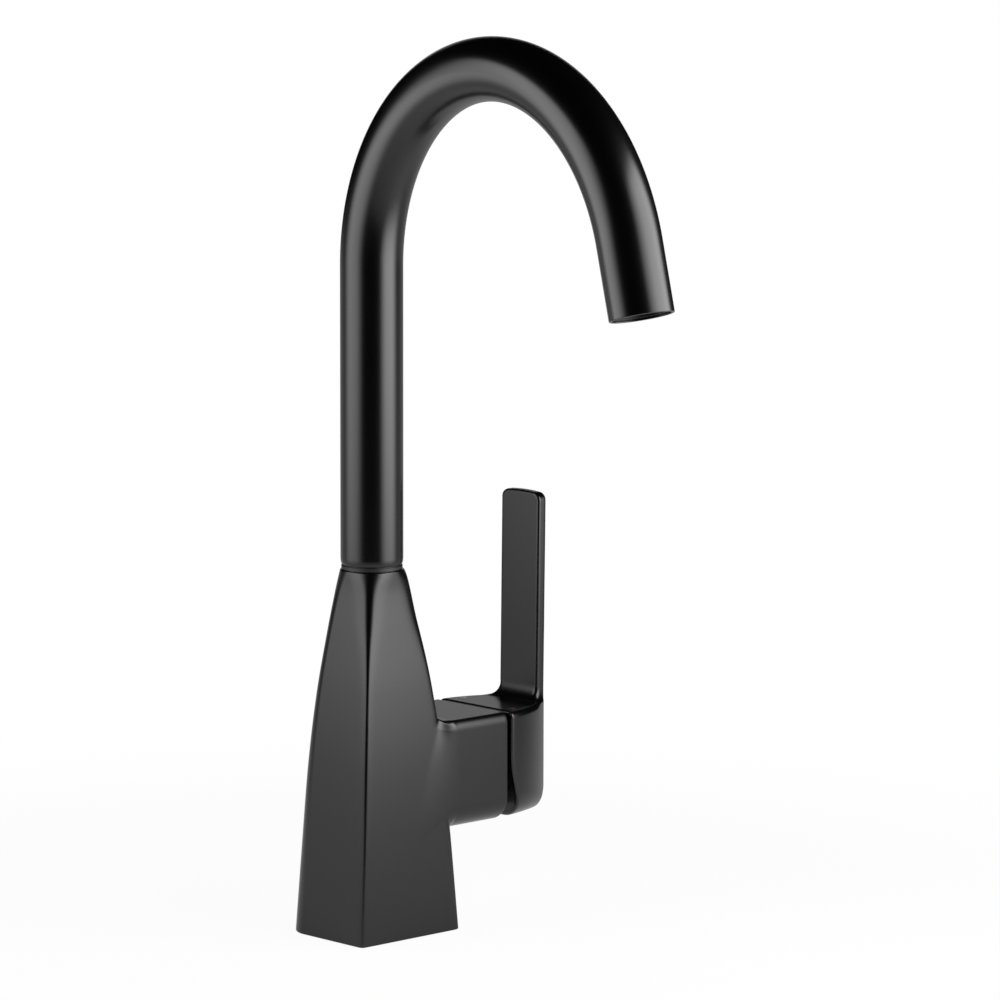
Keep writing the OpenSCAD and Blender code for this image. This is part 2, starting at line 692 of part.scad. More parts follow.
// Dished cover over the nut, seen as the dark ring between arm and hub
module bonnet_cap() {
    rim_r = nut_r - 0.6;
    mouth_r = bearing_r + 1.2;
    rim_t = 1.2;
    rise = 4;
    t = 1.2;
    color(dull_black) along_arm(nut_end_x) rotate_extrude() polygon([
        [rim_r - 4, 0], [rim_r, 0], [rim_r, rim_t],
        each [for (k = [1:4]) [mix(rim_r, mouth_r, k / 5), rim_t + rise * sin(90 * k / 5)]],
        [mouth_r, rim_t + rise], [mouth_r, rim_t + rise - t],
        each [for (k = [4:-1:1]) [mix(rim_r - 4, mouth_r, k / 5), (rim_t + rise - t) * sin(90 * k / 5)]]]);
}

// Square stem with a ball on its inner end, turning on the pin
module lever_stem() {
    square_x = flange_x + 0.6;
    color(steel) difference() {
        union() {
            translate([ball_x, 0, arm_z]) sphere(ball_r);
            along_arm(ball_x) cylinder(r = ball_r - 0.6, h = square_x - ball_x + cut);
            translate([square_x, -stem_half, arm_z - stem_half]) cube([stem_end_x - square_x, stem_w, stem_w]);
        }
        translate([pivot_x, 0, arm_z]) rotate([90, 0, 0]) cylinder(r = pin_r + fit, h = 2 * stem_w, center = true);
    }
}

// ---------------------------------------------------------------- handle

hub_x = arm_end_x + handle_gap;
hub_len = handle_out_x - hub_x;
relief = tan(relief_angle);
stem_end_x = hub_x + 17.5;
hub_steps = 9;
hub_bow = 1.85;
hub_short = 0.01;     // the hub ends this far inside the blade's outer face

function relief_x(z) = relief * max(0, arm_z - z);
function hub_half(x) = mix(arm_half, blade_w / 2, pow((x - hub_x) / hub_len, hub_bow));
// The hub's underside turns up into its outer face.
function hub_low_z(x) =
    let (over = max(0, x - (handle_out_x - hub_out_r)))
    arm_bottom_z + hub_out_r - sqrt(hub_out_r * hub_out_r - over * over);
function hub_low_r(x) = arm_bottom_r * hub_half(x) / arm_half;

function hub_point(i, s) =
    let (x0 = mix(hub_x, handle_out_x - hub_short, s),
        z = ring_z(i, hub_low_z(x0), arm_top_z, hub_low_r(x0), arm_top_r),
        x = x0 + relief_x(z) * (1 - s))
    [x, ring_y(i, hub_half(x), hub_low_r(x0), arm_top_r), z];

// Shares along the hub, closer together where its underside turns up
hub_shares = [for (k = [0:hub_steps]) sin(90 * k / hub_steps)];

module hub_shape() {
    points = [for (s = hub_shares) for (i = [0:ring_count - 1]) hub_point(i, s)];
    function id(k, i) = k * ring_count + i % ring_count;
    side = [for (k = [0:hub_steps - 1]) for (i = [0:ring_count - 1])
        each [[id(k, i), id(k + 1, i), id(k + 1, i + 1)], [id(k, i), id(k + 1, i + 1), id(k, i + 1)]]];
    // The inner face folds where the relief starts, on the way from underside to top.
    inner = closing_faces([for (i = [1:ring_count]) id(0, half_cols / 2 + i - 1)]);
    outer = closing_faces([for (i = [ring_count:-1:1]) id(hub_steps, half_cols / 2 + i)]);
    polyhedron(points, concat(side, inner, outer), convexity = 6);
}

module blade_side_view() {
    foot_z = arm_top_z - 4;
    in_x = handle_out_x - blade_t;
    edge = 1.4;
    polygon([
        [in_x - blade_fillet, foot_z], each arc([in_x - blade_fillet, arm_top_z + blade_fillet], blade_fillet, -90, 0, 8),
        each arc([in_x + blade_lean + edge, blade_top_z - edge], edge, 180, 90, 4),
        each arc([handle_out_x + blade_lean - edge, blade_top_z - edge], edge, 90, 0, 4),
        [handle_out_x, arm_top_z], [handle_out_x, foot_z]]);
}

module blade_end_view() {
    half = blade_w / 2;
    foot_z = arm_top_z - 5;
    corner_z = blade_top_z - blade_crown - blade_corner_r;
    flat = half - blade_corner_r;
    polygon([
        [-half, foot_z], [half, foot_z],
        each arc([flat, corner_z], blade_corner_r, 0, 84, 6),
        each [for (k = [3:-1:-3]) let (y = flat * k / 4) [y, blade_top_z - blade_crown * pow(k / 4, 2)]],
        each arc([-flat, corner_z], blade_corner_r, 96, 180, 6)]);
}

module blade() {
    intersection() {
        translate([0, blade_w, 0]) rotate([90, 0, 0]) linear_extrude(2 * blade_w) blade_side_view();
        rotate([90, 0, 90]) linear_extrude(handle_out_x + 2 * blade_t) blade_end_view();
    }
}

hub_hollow_r = 15;
hub_hollow_depth = 6;
boss_r = 8.5;
boss_rise = 2;
screw_x = stem_end_x - 6;
screw_d = 5;
mark_depth = 0.5;
hot_mark_at = [5.4, 5.6 - arm_half];
cold_mark_at = [7.9, arm_half - 6.6];

module lever_handle() {
    color(black) difference() {
        union() {
            hub_shape();
            blade();
        }
        // hollow over the bonnet cap, with the boss that takes the stem
        difference() {
            along_arm(hub_x - cut) cylinder(r = hub_hollow_r, h = hub_hollow_depth + cut);
            along_arm(hub_x + hub_hollow_depth - boss_rise) cylinder(r = boss_r, h = boss_rise + cut);
        }
        translate([hub_x - cut, -stem_half - slip, arm_z - stem_half - slip])
            cube([stem_end_x + 0.5 - hub_x + cut, stem_w + 2 * slip, stem_w + 2 * slip]);
        translate([screw_x, 0, arm_bottom_z - cut]) cylinder(d = screw_d, h = arm_z - arm_bottom_z);
        for (p = [hot_mark_at, cold_mark_at])
            translate([hub_x + p.x, p.y, arm_top_z - mark_depth]) cylinder(d = mark_d, h = 2 * mark_depth);
    }
}

module handle_screw() {
    screw_len = 8;
    socket_w = 2.5;
    color(steel) translate([screw_x, 0, arm_z - stem_half - slip - screw_len]) difference() {
        cylinder(r = screw_d / 2 - slip, h = screw_len);
        translate([0, 0, -cut]) cylinder(d = socket_w / cos(30), h = 3 + cut, $fn = 6);
    }
}

module mark(at) {
    translate([hub_x + at.x, at.y, arm_top_z - mark_depth]) cylinder(r = mark_d / 2 - slip, h = mark_depth + 0.05);
}

module hot_mark() {
    color("#8c1f22") mark(hot_mark_at);
}

module cold_mark() {
    color("#9fb0c8") mark(cold_mark_at);
}

body();
base_gasket();
spout_tube();
spout_shank();
glide_ring();
lower_glide_ring();
spout_orings();
spout_lock_screw();
tip_bushing();
aerator_housing();
aerator_washer();
aerator_screen();
aerator_cells();
cartridge_base();
port_seals();
fixed_disc();
moving_disc();
disc_carrier();
rotor();
pivot_pin();
cartridge_housing();
bonnet_nut();
bonnet_cap();
lever_stem();
lever_handle();
handle_screw();
hot_mark();
cold_mark();
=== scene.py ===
"""Looks of a gooseneck bar faucet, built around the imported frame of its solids.

Everything is in metres in the frame's own axes: +Z up along the spout's swivel axis,
-Y towards the user, +X towards the valve arm and its lever.
"""

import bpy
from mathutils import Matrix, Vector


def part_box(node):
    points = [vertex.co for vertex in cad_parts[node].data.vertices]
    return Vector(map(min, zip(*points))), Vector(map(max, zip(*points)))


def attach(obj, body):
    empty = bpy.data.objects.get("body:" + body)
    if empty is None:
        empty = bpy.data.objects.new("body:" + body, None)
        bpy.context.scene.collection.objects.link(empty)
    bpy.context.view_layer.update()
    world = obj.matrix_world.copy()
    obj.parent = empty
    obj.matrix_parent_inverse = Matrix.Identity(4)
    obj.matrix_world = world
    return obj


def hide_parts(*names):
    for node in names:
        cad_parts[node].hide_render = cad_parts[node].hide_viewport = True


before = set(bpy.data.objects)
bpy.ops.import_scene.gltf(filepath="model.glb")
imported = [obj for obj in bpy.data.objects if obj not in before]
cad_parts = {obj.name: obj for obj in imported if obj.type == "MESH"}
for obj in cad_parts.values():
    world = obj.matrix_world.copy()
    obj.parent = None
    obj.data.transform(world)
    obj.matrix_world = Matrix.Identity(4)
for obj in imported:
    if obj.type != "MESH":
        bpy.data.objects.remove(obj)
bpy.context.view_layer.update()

import math

import bmesh
import bpy
import numpy as np
from bpy.props import FloatProperty, FloatVectorProperty, PointerProperty
from mathutils import Matrix, Vector

bl_info = {
    "name": "Gooseneck bar faucet",
    "version": (1, 0, 0),
    "blender": (4, 5, 0),
    "location": "View3D > Sidebar > Faucet",
    "description": "Builds the visible pieces, finishes and studio of a gooseneck bar faucet",
    "category": "Object",
}

MM = 0.001
BODY_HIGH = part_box("body")[1]
TUBE_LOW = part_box("spout_tube")[0]
RING_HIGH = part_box("glide_ring")[1]
HANDLE_LOW, HANDLE_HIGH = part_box("lever_handle")
UP = Vector((0, 0, 1))


# ------------------------------------------------------------------ settings

def length(name, description, default):
    return FloatProperty(name=name, description=description, default=default, subtype="DISTANCE",
                         unit="LENGTH", precision=5)


def turn(name, description, degrees):
    return FloatProperty(name=name, description=description, default=math.radians(degrees),
                         subtype="ANGLE", unit="ROTATION")


def tint(name, description, default):
    return FloatVectorProperty(name=name, description=description, default=default, size=3,
                               min=0, max=1, subtype="COLOR")


def share(name, description, default):
    return FloatProperty(name=name, description=description, default=default, min=0, max=1,
                         subtype="FACTOR")


def level(name, description, default):
    return FloatProperty(name=name, description=description, default=default, min=0, precision=4)


class FaucetBodySizes(bpy.types.PropertyGroup):
    """Sizes of the cast body and its valve arm."""
    height: length("Height", "Height of the round top above the deck", BODY_HIGH.z)
    foot_width: length("Foot width", "Width of the foot, side to side", 53.7 * MM)
    foot_depth: length("Foot depth", "Depth of the foot, front to back", 47.3 * MM)
    neck: length("Neck", "Diameter of the round top", 25.7 * MM)
    foot_edge: length("Foot edge", "Rounding of the foot's lower edge", 0.7 * MM)
    neck_edge: length("Neck edge", "Rounding of the round top's edge", 0.4 * MM)
    arm_width: length("Arm width", "Width of the valve arm, front to back", 44.2 * MM)
    arm_top: length("Arm top", "Height of the arm's flat top", 86 * MM)
    arm_bottom: length("Arm bottom", "Height of the arm's underside", 40.5 * MM)
    arm_end: length("Arm end", "Distance of the arm's end face from the swivel axis", BODY_HIGH.x)
    arm_top_edge: length("Arm top edge", "Width of the rounding along the arm's upper edges", 2.8 * MM)
    arm_bottom_edge: length("Arm bottom edge", "Radius of the arm's lower edges", 11 * MM)
    arm_end_edge: length("Arm end edge", "Rounding of the arm's end edge", 0.8 * MM)
    arm_fillet: length("Arm fillet", "Reach of the fillets between arm and body", 2.6 * MM)


class FaucetSpoutSizes(bpy.types.PropertyGroup):
    """Sizes of the gooseneck tube."""
    diameter: length("Diameter", "Outside diameter of the tube", 25.4 * MM)
    wall: length("Wall", "Wall of the tube", 1.2 * MM)
    bend_height: length("Bend height", "Height of the bend's centre above the deck", 272 * MM)
    bend_radius: length("Bend radius", "Radius of the bend along the centre line", 83.6 * MM)
    bend_angle: turn("Bend angle", "Angle that the bend turns through", 164.4)
    tip: length("Straight end", "Straight length between bend and outlet", 28.5 * MM)
    swing: turn("Swing", "Turn of the spout away from straight ahead", -5.5)
    lip: length("Lip", "How far the tube's lower edge is turned in", 0.7 * MM)
    rim: length("Rim", "Rounding of the outlet's edge", 0.35 * MM)


class FaucetHandleSizes(bpy.types.PropertyGroup):
    """Sizes of the lever handle."""
    inner: length("Inner face", "Distance of the hub's inner face from the swivel axis", HANDLE_LOW.x)
    outer: length("Outer face", "Distance of the hub's outer face from the swivel axis", 85.6 * MM)
    top: length("Blade top", "Height of the blade's top", HANDLE_HIGH.z)
    blade_width: length("Blade width", "Width of the blade", 22.6 * MM)
    blade_thickness: length("Blade thickness", "Thickness of the blade", 4.3 * MM)
    lean: length("Lean", "Lean of the blade away from the body over its length", 1 * MM)
    fillet: length("Fillet", "Radius of the fillet between hub and blade", 6.5 * MM)
    hub_edge: length("Hub edge", "Rounding of the hub's upper edges", 2.8 * MM)
    blade_edge: length("Blade edge", "Rounding of the blade's edges", 0.9 * MM)
    face_edge: length("Face edge", "Rounding around the hub's inner face", 1.0 * MM)
    corner: length("Corner", "Radius of the blade's upper corners", 3 * MM)
    crown: length("Crown", "Rise of the blade's crowned top", 0.7 * MM)
    heel: length("Heel", "Radius of the hub's outer lower edge", 5 * MM)
    relief: turn("Relief", "Slope of the hub's lower inner face", 14)


class FaucetFinish(bpy.types.PropertyGroup):
    """Colours and gloss of the finishes."""
    coat: tint("Coat", "Colour of the satin black coat", (0.0008, 0.0008, 0.0008))
    coat_roughness: share("Coat roughness", "Roughness of the satin black coat", 0.24)
    plastic: tint("Dull plastic", "Colour of the moulded black plastic", (0.006, 0.006, 0.006))
    brass: tint("Brass", "Colour of turned brass", (0.62, 0.42, 0.16))
    steel: tint("Steel", "Colour of turned stainless steel", (0.46, 0.46, 0.47))
    white: tint("White plastic", "Colour of the cartridge's plastic", (0.78, 0.78, 0.75))
    rubber: tint("Rubber", "Colour of the seals", (0.012, 0.012, 0.012))
    ceramic: tint("Ceramic", "Colour of the ceramic discs", (0.74, 0.70, 0.62))
    hot: tint("Hot mark", "Colour of the hot mark", (0.075, 0.028, 0.03))
    cold: tint("Cold mark", "Colour of the cold mark", (0.17, 0.19, 0.23))


class FaucetStage(bpy.types.PropertyGroup):
    """Camera, paper and lamps."""
    lens: FloatProperty(name="Lens", description="Focal length on a 36 mm sensor", default=215.544,
                        subtype="DISTANCE_CAMERA", unit="CAMERA")
    roll: turn("Roll", "Roll of the camera", 0.113)
    box_distance: length("Box distance", "Distance of the soft boxes from the swivel axis", 0.36)
    box_low: length("Box low edge", "Height of the soft boxes' lower edge", 0.0)
    box_high: length("Box high edge", "Height of the soft boxes' upper edge", 0.56)
    box_fade: share("Box fade", "Share of a soft box's width over which its sides fade", 0.33)
    left_bearing: turn("Left bearing", "Bearing of the left soft box from the camera", 71)
    left_width: length("Left width", "Width of the left soft box", 0.56)
    left_level: level("Left level", "Radiance of the left soft box", 3.5)
    right_bearing: turn("Right bearing", "Bearing of the right soft box from the camera", -66)
    right_width: length("Right width", "Width of the right soft box", 0.5)
    right_level: level("Right level", "Radiance of the right soft box", 6.1)
    room_level: level("Room level", "Radiance of the dark room round the faucet", 0.004)
    paper: tint("Paper", "Colour of the paper on table and backdrop", (0.86, 0.86, 0.86))
    paper_gloss: share("Paper in gloss", "How white glossy surfaces see the paper", 0.42)
    paper_near: share("Paper nearby", "How white the camera sees the table round the faucet", 0.95)
    paper_reach: length("Paper reach", "Distance at which the table is wholly white", 0.45)
    table_front: length("Table front", "Reach of the table in front of the swivel axis", 0.5)
    table_back: length("Table back", "Distance of the backdrop behind the swivel axis", 3)
    table_side: length("Table side", "Half width of the table", 2.5)
    backdrop_side: length("Backdrop side", "Half width of the backdrop", 0.8)
    backdrop_height: length("Backdrop height", "Height of the backdrop", 1.2)


class FaucetSettings(bpy.types.PropertyGroup):
    """All settings of the faucet."""
    body: PointerProperty(type=FaucetBodySizes)
    spout: PointerProperty(type=FaucetSpoutSizes)
    handle: PointerProperty(type=FaucetHandleSizes)
    finish: PointerProperty(type=FaucetFinish)
    stage: PointerProperty(type=FaucetStage)


def settings():
    return bpy.context.scene.faucet


# ------------------------------------------------------------------ shader writing

class Wire:
    """A value in a shader, so that shader maths reads as an expression."""

    def __init__(self, recipe, socket):
        self.recipe, self.socket = recipe, socket

    def math(self, operation, other):
        node = self.recipe.node("ShaderNodeMath", {"operation": operation}, {0: self, 1: other})
        return self.recipe.wire(node)

    def __add__(self, other):
        return self.math("ADD", other)

    def __mul__(self, other):
        return self.math("MULTIPLY", other)

    def __sub__(self, other):
        return self.math("SUBTRACT", other)

    def __rsub__(self, other):
        return self * -1 + other

    __radd__, __rmul__ = __add__, __mul__


class Recipe:
    """The nodes of a material, a lamp or the world under construction."""

    def __init__(self, owner):
        owner.use_nodes = True
        self.owner, self.tree = owner, owner.node_tree
        self.tree.nodes.clear()

    def node(self, kind, options=None, inputs=None):
        """Adds a node: its options are set first, then the values or links of its sockets."""
        made = self.tree.nodes.new(kind)
        for key, value in (options or {}).items():
            if key == "stops":
                ramp = made.color_ramp.elements
                while len(ramp) < len(value):
                    ramp.new(1.0)
                for stop, (place, grey) in zip(ramp, value):
                    stop.position, stop.color = place, (grey, grey, grey, 1)
            else:
                setattr(made, key, value)
        for key, value in (inputs or {}).items():
            self.feed(made.inputs[key], value)
        return made

    def feed(self, socket, value):
        """Links a socket to a wire or to another node's socket, or sets its value."""
        if isinstance(value, Wire):
            self.tree.links.new(value.socket, socket)
        elif isinstance(value, bpy.types.NodeSocket):
            self.tree.links.new(value, socket)
        elif socket.type == "RGBA" and len(value) == 3:
            socket.default_value = (*value, 1)
        else:
            socket.default_value = value

    def wire(self, node, output=0):
        return Wire(self, node.outputs[output])

    def place(self, stretch=(1, 1, 1)):
        """Object coordinates, stretched."""
        where = self.node("ShaderNodeTexCoord")
        mapped = self.node("ShaderNodeMapping", {}, {"Vector": where.outputs["Object"], "Scale": stretch})
        return mapped.outputs["Vector"]

    def noise(self, scale, detail, at=None):
        found = self.node("ShaderNodeTexNoise", {}, {"Scale": scale, "Detail": detail,
                                                     "Vector": at or self.place()})
        return self.wire(found, "Fac")

    def ramp(self, factor, stops):
        return self.wire(self.node("ShaderNodeValToRGB", {"stops": stops}, {"Fac": factor}), "Color")

    def tones(self, dark, light, factor):
        """A colour between two tones of a finish."""
        mixed = self.node("ShaderNodeMix", {"data_type": "RGBA"},
                          {0: factor, 6: (*dark, 1), 7: (*light, 1)})
        return mixed.outputs[2]

    def bump(self, height, strength, distance):
        made = self.node("ShaderNodeBump", {}, {"Height": height, "Strength": strength,
                                                "Distance": distance})
        return made.outputs["Normal"]

    def finish(self, shader, kind="Material"):
        """Leads a shader node to the output of a material, a lamp or the world."""
        self.node("ShaderNodeOutput" + kind, {}, {0: shader.outputs[0]})
        return self.owner

    def principled(self, inputs):
        self.finish(self.node("ShaderNodeBsdfPrincipled", {}, inputs))

    def where_seen(self, gloss, share_seen, hidden, seen, kind="Material"):
        """Shows one shader to the camera and through glass, and to gloss in part, else another."""
        path = self.node("ShaderNodeLightPath")
        rays = self.wire(path, "Is Camera Ray").math("MAXIMUM", self.wire(path, "Is Glossy Ray") * gloss)
        rays = rays.math("MAXIMUM", self.wire(path, "Is Transmission Ray"))
        mixed = self.node("ShaderNodeMixShader", {}, {0: rays * share_seen, 1: hidden.outputs[0],
                                                      2: seen.outputs[0]})
        return self.finish(mixed, kind)


def new_finish(name):
    return Recipe(bpy.data.materials.new(name))


def darker(colour, factor):
    return tuple(c * factor for c in colour)


def satin_black(name):
    """Satin powder coat: faint orange peel, fine grain and slow changes of gloss."""
    finish, r = settings().finish, new_finish(name)
    cloud = r.noise(scale=28, detail=3)
    peel = r.noise(scale=750, detail=1)
    grain = r.noise(scale=5200, detail=2)
    r.principled({
        "Base Color": r.tones(darker(finish.coat, 0.85), darker(finish.coat, 1.15), cloud),
        "Roughness": (cloud - 0.5) * 0.05 + (grain - 0.5) * 0.04 + finish.coat_roughness,
        "Normal": r.bump(peel * 0.7 + grain * 0.3, strength=0.05, distance=0.05 * MM)})


def moulded(name, colour, roughness):
    """Moulded plastic with a fine spark-eroded grain."""
    r = new_finish(name)
    grain = r.noise(scale=3800, detail=3)
    cloud = r.noise(scale=60, detail=2)
    r.principled({
        "Base Color": r.tones(darker(colour, 0.88), darker(colour, 1.12), cloud),
        "Roughness": (grain - 0.5) * 0.12 + roughness,
        "Normal": r.bump(grain, strength=0.12, distance=0.04 * MM)})


def turned_metal(name, colour, roughness, axis):
    """Turned metal: fine tool rings across the part's axis and slow stains."""
    r = new_finish(name)
    stretch = [40.0, 40.0, 40.0]
    stretch["XYZ".index(axis)] = 5200.0
    rings = r.noise(scale=1, detail=3, at=r.place(stretch))
    stain = r.noise(scale=90, detail=3)
    r.principled({
        "Base Color": r.tones(darker(colour, 0.8), darker(colour, 1.1), stain * 0.6 + rings * 0.4),
        "Metallic": 1.0,
        "Roughness": (rings - 0.5) * 0.2 + (stain - 0.5) * 0.1 + roughness,
        "Normal": r.bump(rings, strength=0.1, distance=0.02 * MM)})


def soft_rubber(name):
    """Dusty black rubber of the seals."""
    finish, r = settings().finish, new_finish(name)
    dust = r.noise(scale=420, detail=4)
    r.principled({
        "Base Color": r.tones(finish.rubber, darker(finish.rubber, 2.2), dust),
        "Roughness": (dust - 0.5) * 0.15 + 0.62,
        "Normal": r.bump(dust, strength=0.1, distance=0.05 * MM)})


def lapped_ceramic(name):
    """Lapped ceramic of the discs, faintly speckled."""
    finish, r = settings().finish, new_finish(name)
    speck = r.noise(scale=2600, detail=4)
    cloud = r.noise(scale=120, detail=2)
    r.principled({
        "Base Color": r.tones(darker(finish.ceramic, 0.92), finish.ceramic, cloud),
        "Roughness": (speck - 0.5) * 0.1 + 0.22,
        "Normal": r.bump(speck, strength=0.04, distance=0.01 * MM)})


def enamel(name, colour):
    """Glossy enamel, slightly domed and uneven, in a temperature mark."""
    r = new_finish(name)
    pool = r.noise(scale=900, detail=2)
    r.principled({
        "Base Color": r.tones(darker(colour, 0.75), darker(colour, 1.1), pool),
        "Roughness": (pool - 0.5) * 0.08 + 0.24,
        "Normal": r.bump(pool, strength=0.1, distance=0.05 * MM)})


# ------------------------------------------------------------------ mesh helpers

WELD = 1e-7
WIDE_BORE_SIDES = 96


def give_finish(mesh, finish):
    """Gives a mesh one finish, by its name."""
    mesh.materials.clear()
    mesh.materials.append(bpy.data.materials[finish])


def add_coated(name, mesh, body, node, crease):
    """Adds a satin black piece that rides on a body and stands for a CAD node."""
    give_finish(mesh, "satin_black_coat")
    mesh.shade_smooth()
    mesh.set_sharp_from_angle(angle=math.radians(crease))
    piece = bpy.data.objects.new(name, mesh)
    bpy.context.scene.collection.objects.link(piece)
    steady = piece.modifiers.new("steady_normals", "WEIGHTED_NORMAL")
    steady.keep_sharp = True
    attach(piece, body)
    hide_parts(node)


def mesh_from(bm, name):
    """Ends a bmesh as a mesh with its doubles welded and its normals outwards."""
    bmesh.ops.remove_doubles(bm, verts=bm.verts, dist=WELD)
    bmesh.ops.recalc_face_normals(bm, faces=bm.faces)
    mesh = bpy.data.meshes.new(name)
    bm.to_mesh(mesh)
    bm.free()
    return mesh


def grid_faces(rings):
    """Quads between closed rings of vertices that have the same count."""
    for one, two in zip(rings, rings[1:]):
        for i in range(len(one)):
            j = (i + 1) % len(one)
            yield one[i], two[i], two[j], one[j]


def add_rings(bm, rings):
    """Adds rings of points as vertices and the quads between them."""
    made = [[bm.verts.new(p) for p in ring] for ring in rings]
    for corners in grid_faces(made):
        bm.faces.new(corners)
    return made


def circle(centre, radius, across, up, count=64):
    """Points of a circle round centre in the plane of two unit vectors."""
    angles = [math.tau * i / count for i in range(count)]
    return [Vector(centre) + Vector(across) * (radius * math.cos(a))
            + Vector(up) * (radius * math.sin(a)) for a in angles]


def add_bore(bm, centre, axis, stations, count=64):
    """Adds a blind bore that starts at the first of its (distance, radius) stations."""
    axis = Vector(axis)
    across = axis.orthogonal().normalized()
    up = axis.cross(across)
    rings = add_rings(bm, [circle(Vector(centre) + axis * d, r, across, up, count)
                           for d, r in stations])
    bm.faces.new(rings[-1])
    return rings[0]


def loop_edges(bm, ring):
    """The edges along a closed ring of vertices, made where they are missing."""
    return [bm.edges.get((a, b)) or bm.edges.new((a, b)) for a, b in zip(ring, ring[1:] + ring[:1])]


def fill_face(bm, *loops):
    """Fills the flat face between an outer loop and the holes in it."""
    edges = [e for ring in loops for e in loop_edges(bm, ring)]
    bmesh.ops.triangle_fill(bm, use_beauty=True, edges=edges)


def cut_away(mesh, name, cutters):
    """Cuts closed shapes out of a mesh, one after the other."""
    piece = bpy.data.objects.new(name, mesh)
    bpy.context.scene.collection.objects.link(piece)
    tools = []
    for cutter in cutters:
        shape = bpy.data.meshes.new(name + "_cutter")
        cutter.to_mesh(shape)
        cutter.free()
        tool = bpy.data.objects.new(name + "_cutter", shape)
        bpy.context.scene.collection.objects.link(tool)
        cut = piece.modifiers.new("cut", "BOOLEAN")
        cut.operation, cut.solver, cut.object = "DIFFERENCE", "EXACT", tool
        tools.append(tool)
    bpy.context.view_layer.update()
    result = bpy.data.meshes.new_from_object(piece.evaluated_get(bpy.context.evaluated_depsgraph_get()))
    for used in (piece, *tools):
        bpy.data.objects.remove(used)
    if not result.polygons:
        raise RuntimeError(f"{name}: the cut left nothing")
    return result


def rod(start, end, radius, count=48):
    """A closed cylinder between two points."""
    bm = bmesh.new()
    axis = Vector(end) - Vector(start)
    across = axis.orthogonal().normalized()
    up = axis.normalized().cross(across)
    ends = add_rings(bm, [circle(p, radius, across, up, count) for p in (start, end)])
    for ring in ends:
        bm.faces.new(ring)
    bmesh.ops.recalc_face_normals(bm, faces=bm.faces)
    return bm


def block(low, high):
    """A closed box between two corners."""
    bm = bmesh.new()
    bmesh.ops.create_cube(bm, size=1)
    low, high = Vector(low), Vector(high)
    bmesh.ops.transform(bm, matrix=Matrix.LocRotScale((low + high) / 2, None, high - low), verts=bm.verts)
    return bm


# ------------------------------------------------------------------ cast body

# The body's taper and corners, from the foot up: share of height, shares of the way from neck
# to foot in width and depth, squareness of the front corners (2 is round), and radius of the
# rear corners as a share of the half depth
BODY_SHAPE = np.array([
    (0, 1, 1, 34, 0.47),
    (0.25, 0.806, 0.86, 29, 0.47),
    (0.47, 0.636, 0.695, 22, 0.47),
    (0.67, 0.393, 0.421, 19, 0.43),
    (0.84, 0.155, 0.135, 7.2, 0.5),
    (0.94, 0.025, 0, 4.2, 0.67),
    (1, 0, 0, 2.05, 1)])
RISE, WIDTH, DEPTH, SQUARE, REAR_R = range(5)
# Directions of the columns of vertices in a quarter of a section, in degrees
QUARTER = [0, 1, 2, 4, 7, 10, 14, 18, 22, 26, 29, 32, 34.5, 37, 39.5, 42, 45, 48, 50.5, 53, 55.5, 58,
           61, 64, 68, 72, 76, 80, 83, 86, 88, 89]
HALF_COLS = 2 * len(QUARTER)
CORNER_CROWD = 2.2          # how closely the columns crowd at the front corners
FOOT_ROWS, ARM_ROWS, NECK_ROWS = 16, 56, 44
BLEND_STEPS = 44            # rings between the body's wall and the arm
ARM_STEPS = 22              # rings along the arm itself
ARM_ROOT_GAP = 1.2 * MM     # from the body's side to the arm's first ring
ROW_CROWD = 0.75            # how closely the arm's rows crowd towards its top
WALL_RUN = 0.7              # share of the fillet over which the blend leaves the wall
ARM_RUN = 0.7               # share of its way over which it runs on level into the arm
LEVEL_POWER = 6             # how late, from the arm's top and bottom to its sides, it turns level
SWELL_INSET = 0.5 * MM      # the faces start to swell this far inside the body's corner
SWELL_LEAN = 0.45           # how far the swell's start leans in for each unit below the arm's top
SWELL_SPREAD = 0.1          # how far its end leans out
SWELL_RUN = 6.5 * MM        # reach of the swell at the arm's top
TOP_EDGE_RISE = 1.6         # height of the arm's upper edge's rounding for its width
SWELL_ONSET = 3             # the swell is whole after one part in so many of the blend
LEVEL_ANGLE = 30            # degrees over which it sets in round the arm


def body_shape(u, k):
    """Value k of the body's shape at share u of its height: a smooth curve through the rows."""
    table, at = BODY_SHAPE, BODY_SHAPE[:, RISE]
    i = int(np.clip(np.searchsorted(at, u, side="right") - 1, 0, len(at) - 2))

    def slope(j):
        lo, hi = max(j - 1, 0), min(j + 1, len(at) - 1)
        return (table[hi, k] - table[lo, k]) / (at[hi] - at[lo])

    h = at[i + 1] - at[i]
    s = (u - at[i]) / h
    return (table[i, k] * (1 + 2 * s) * (1 - s) ** 2 + slope(i) * h * s * (1 - s) ** 2
            + table[i + 1, k] * s * s * (3 - 2 * s) + slope(i + 1) * h * s * s * (s - 1))


def direction(j):
    """Direction of column j in degrees about +Z; column 0 is in the middle of the front side."""
    return -90 + 90 * (j // len(QUARTER)) + QUARTER[j % len(QUARTER)]


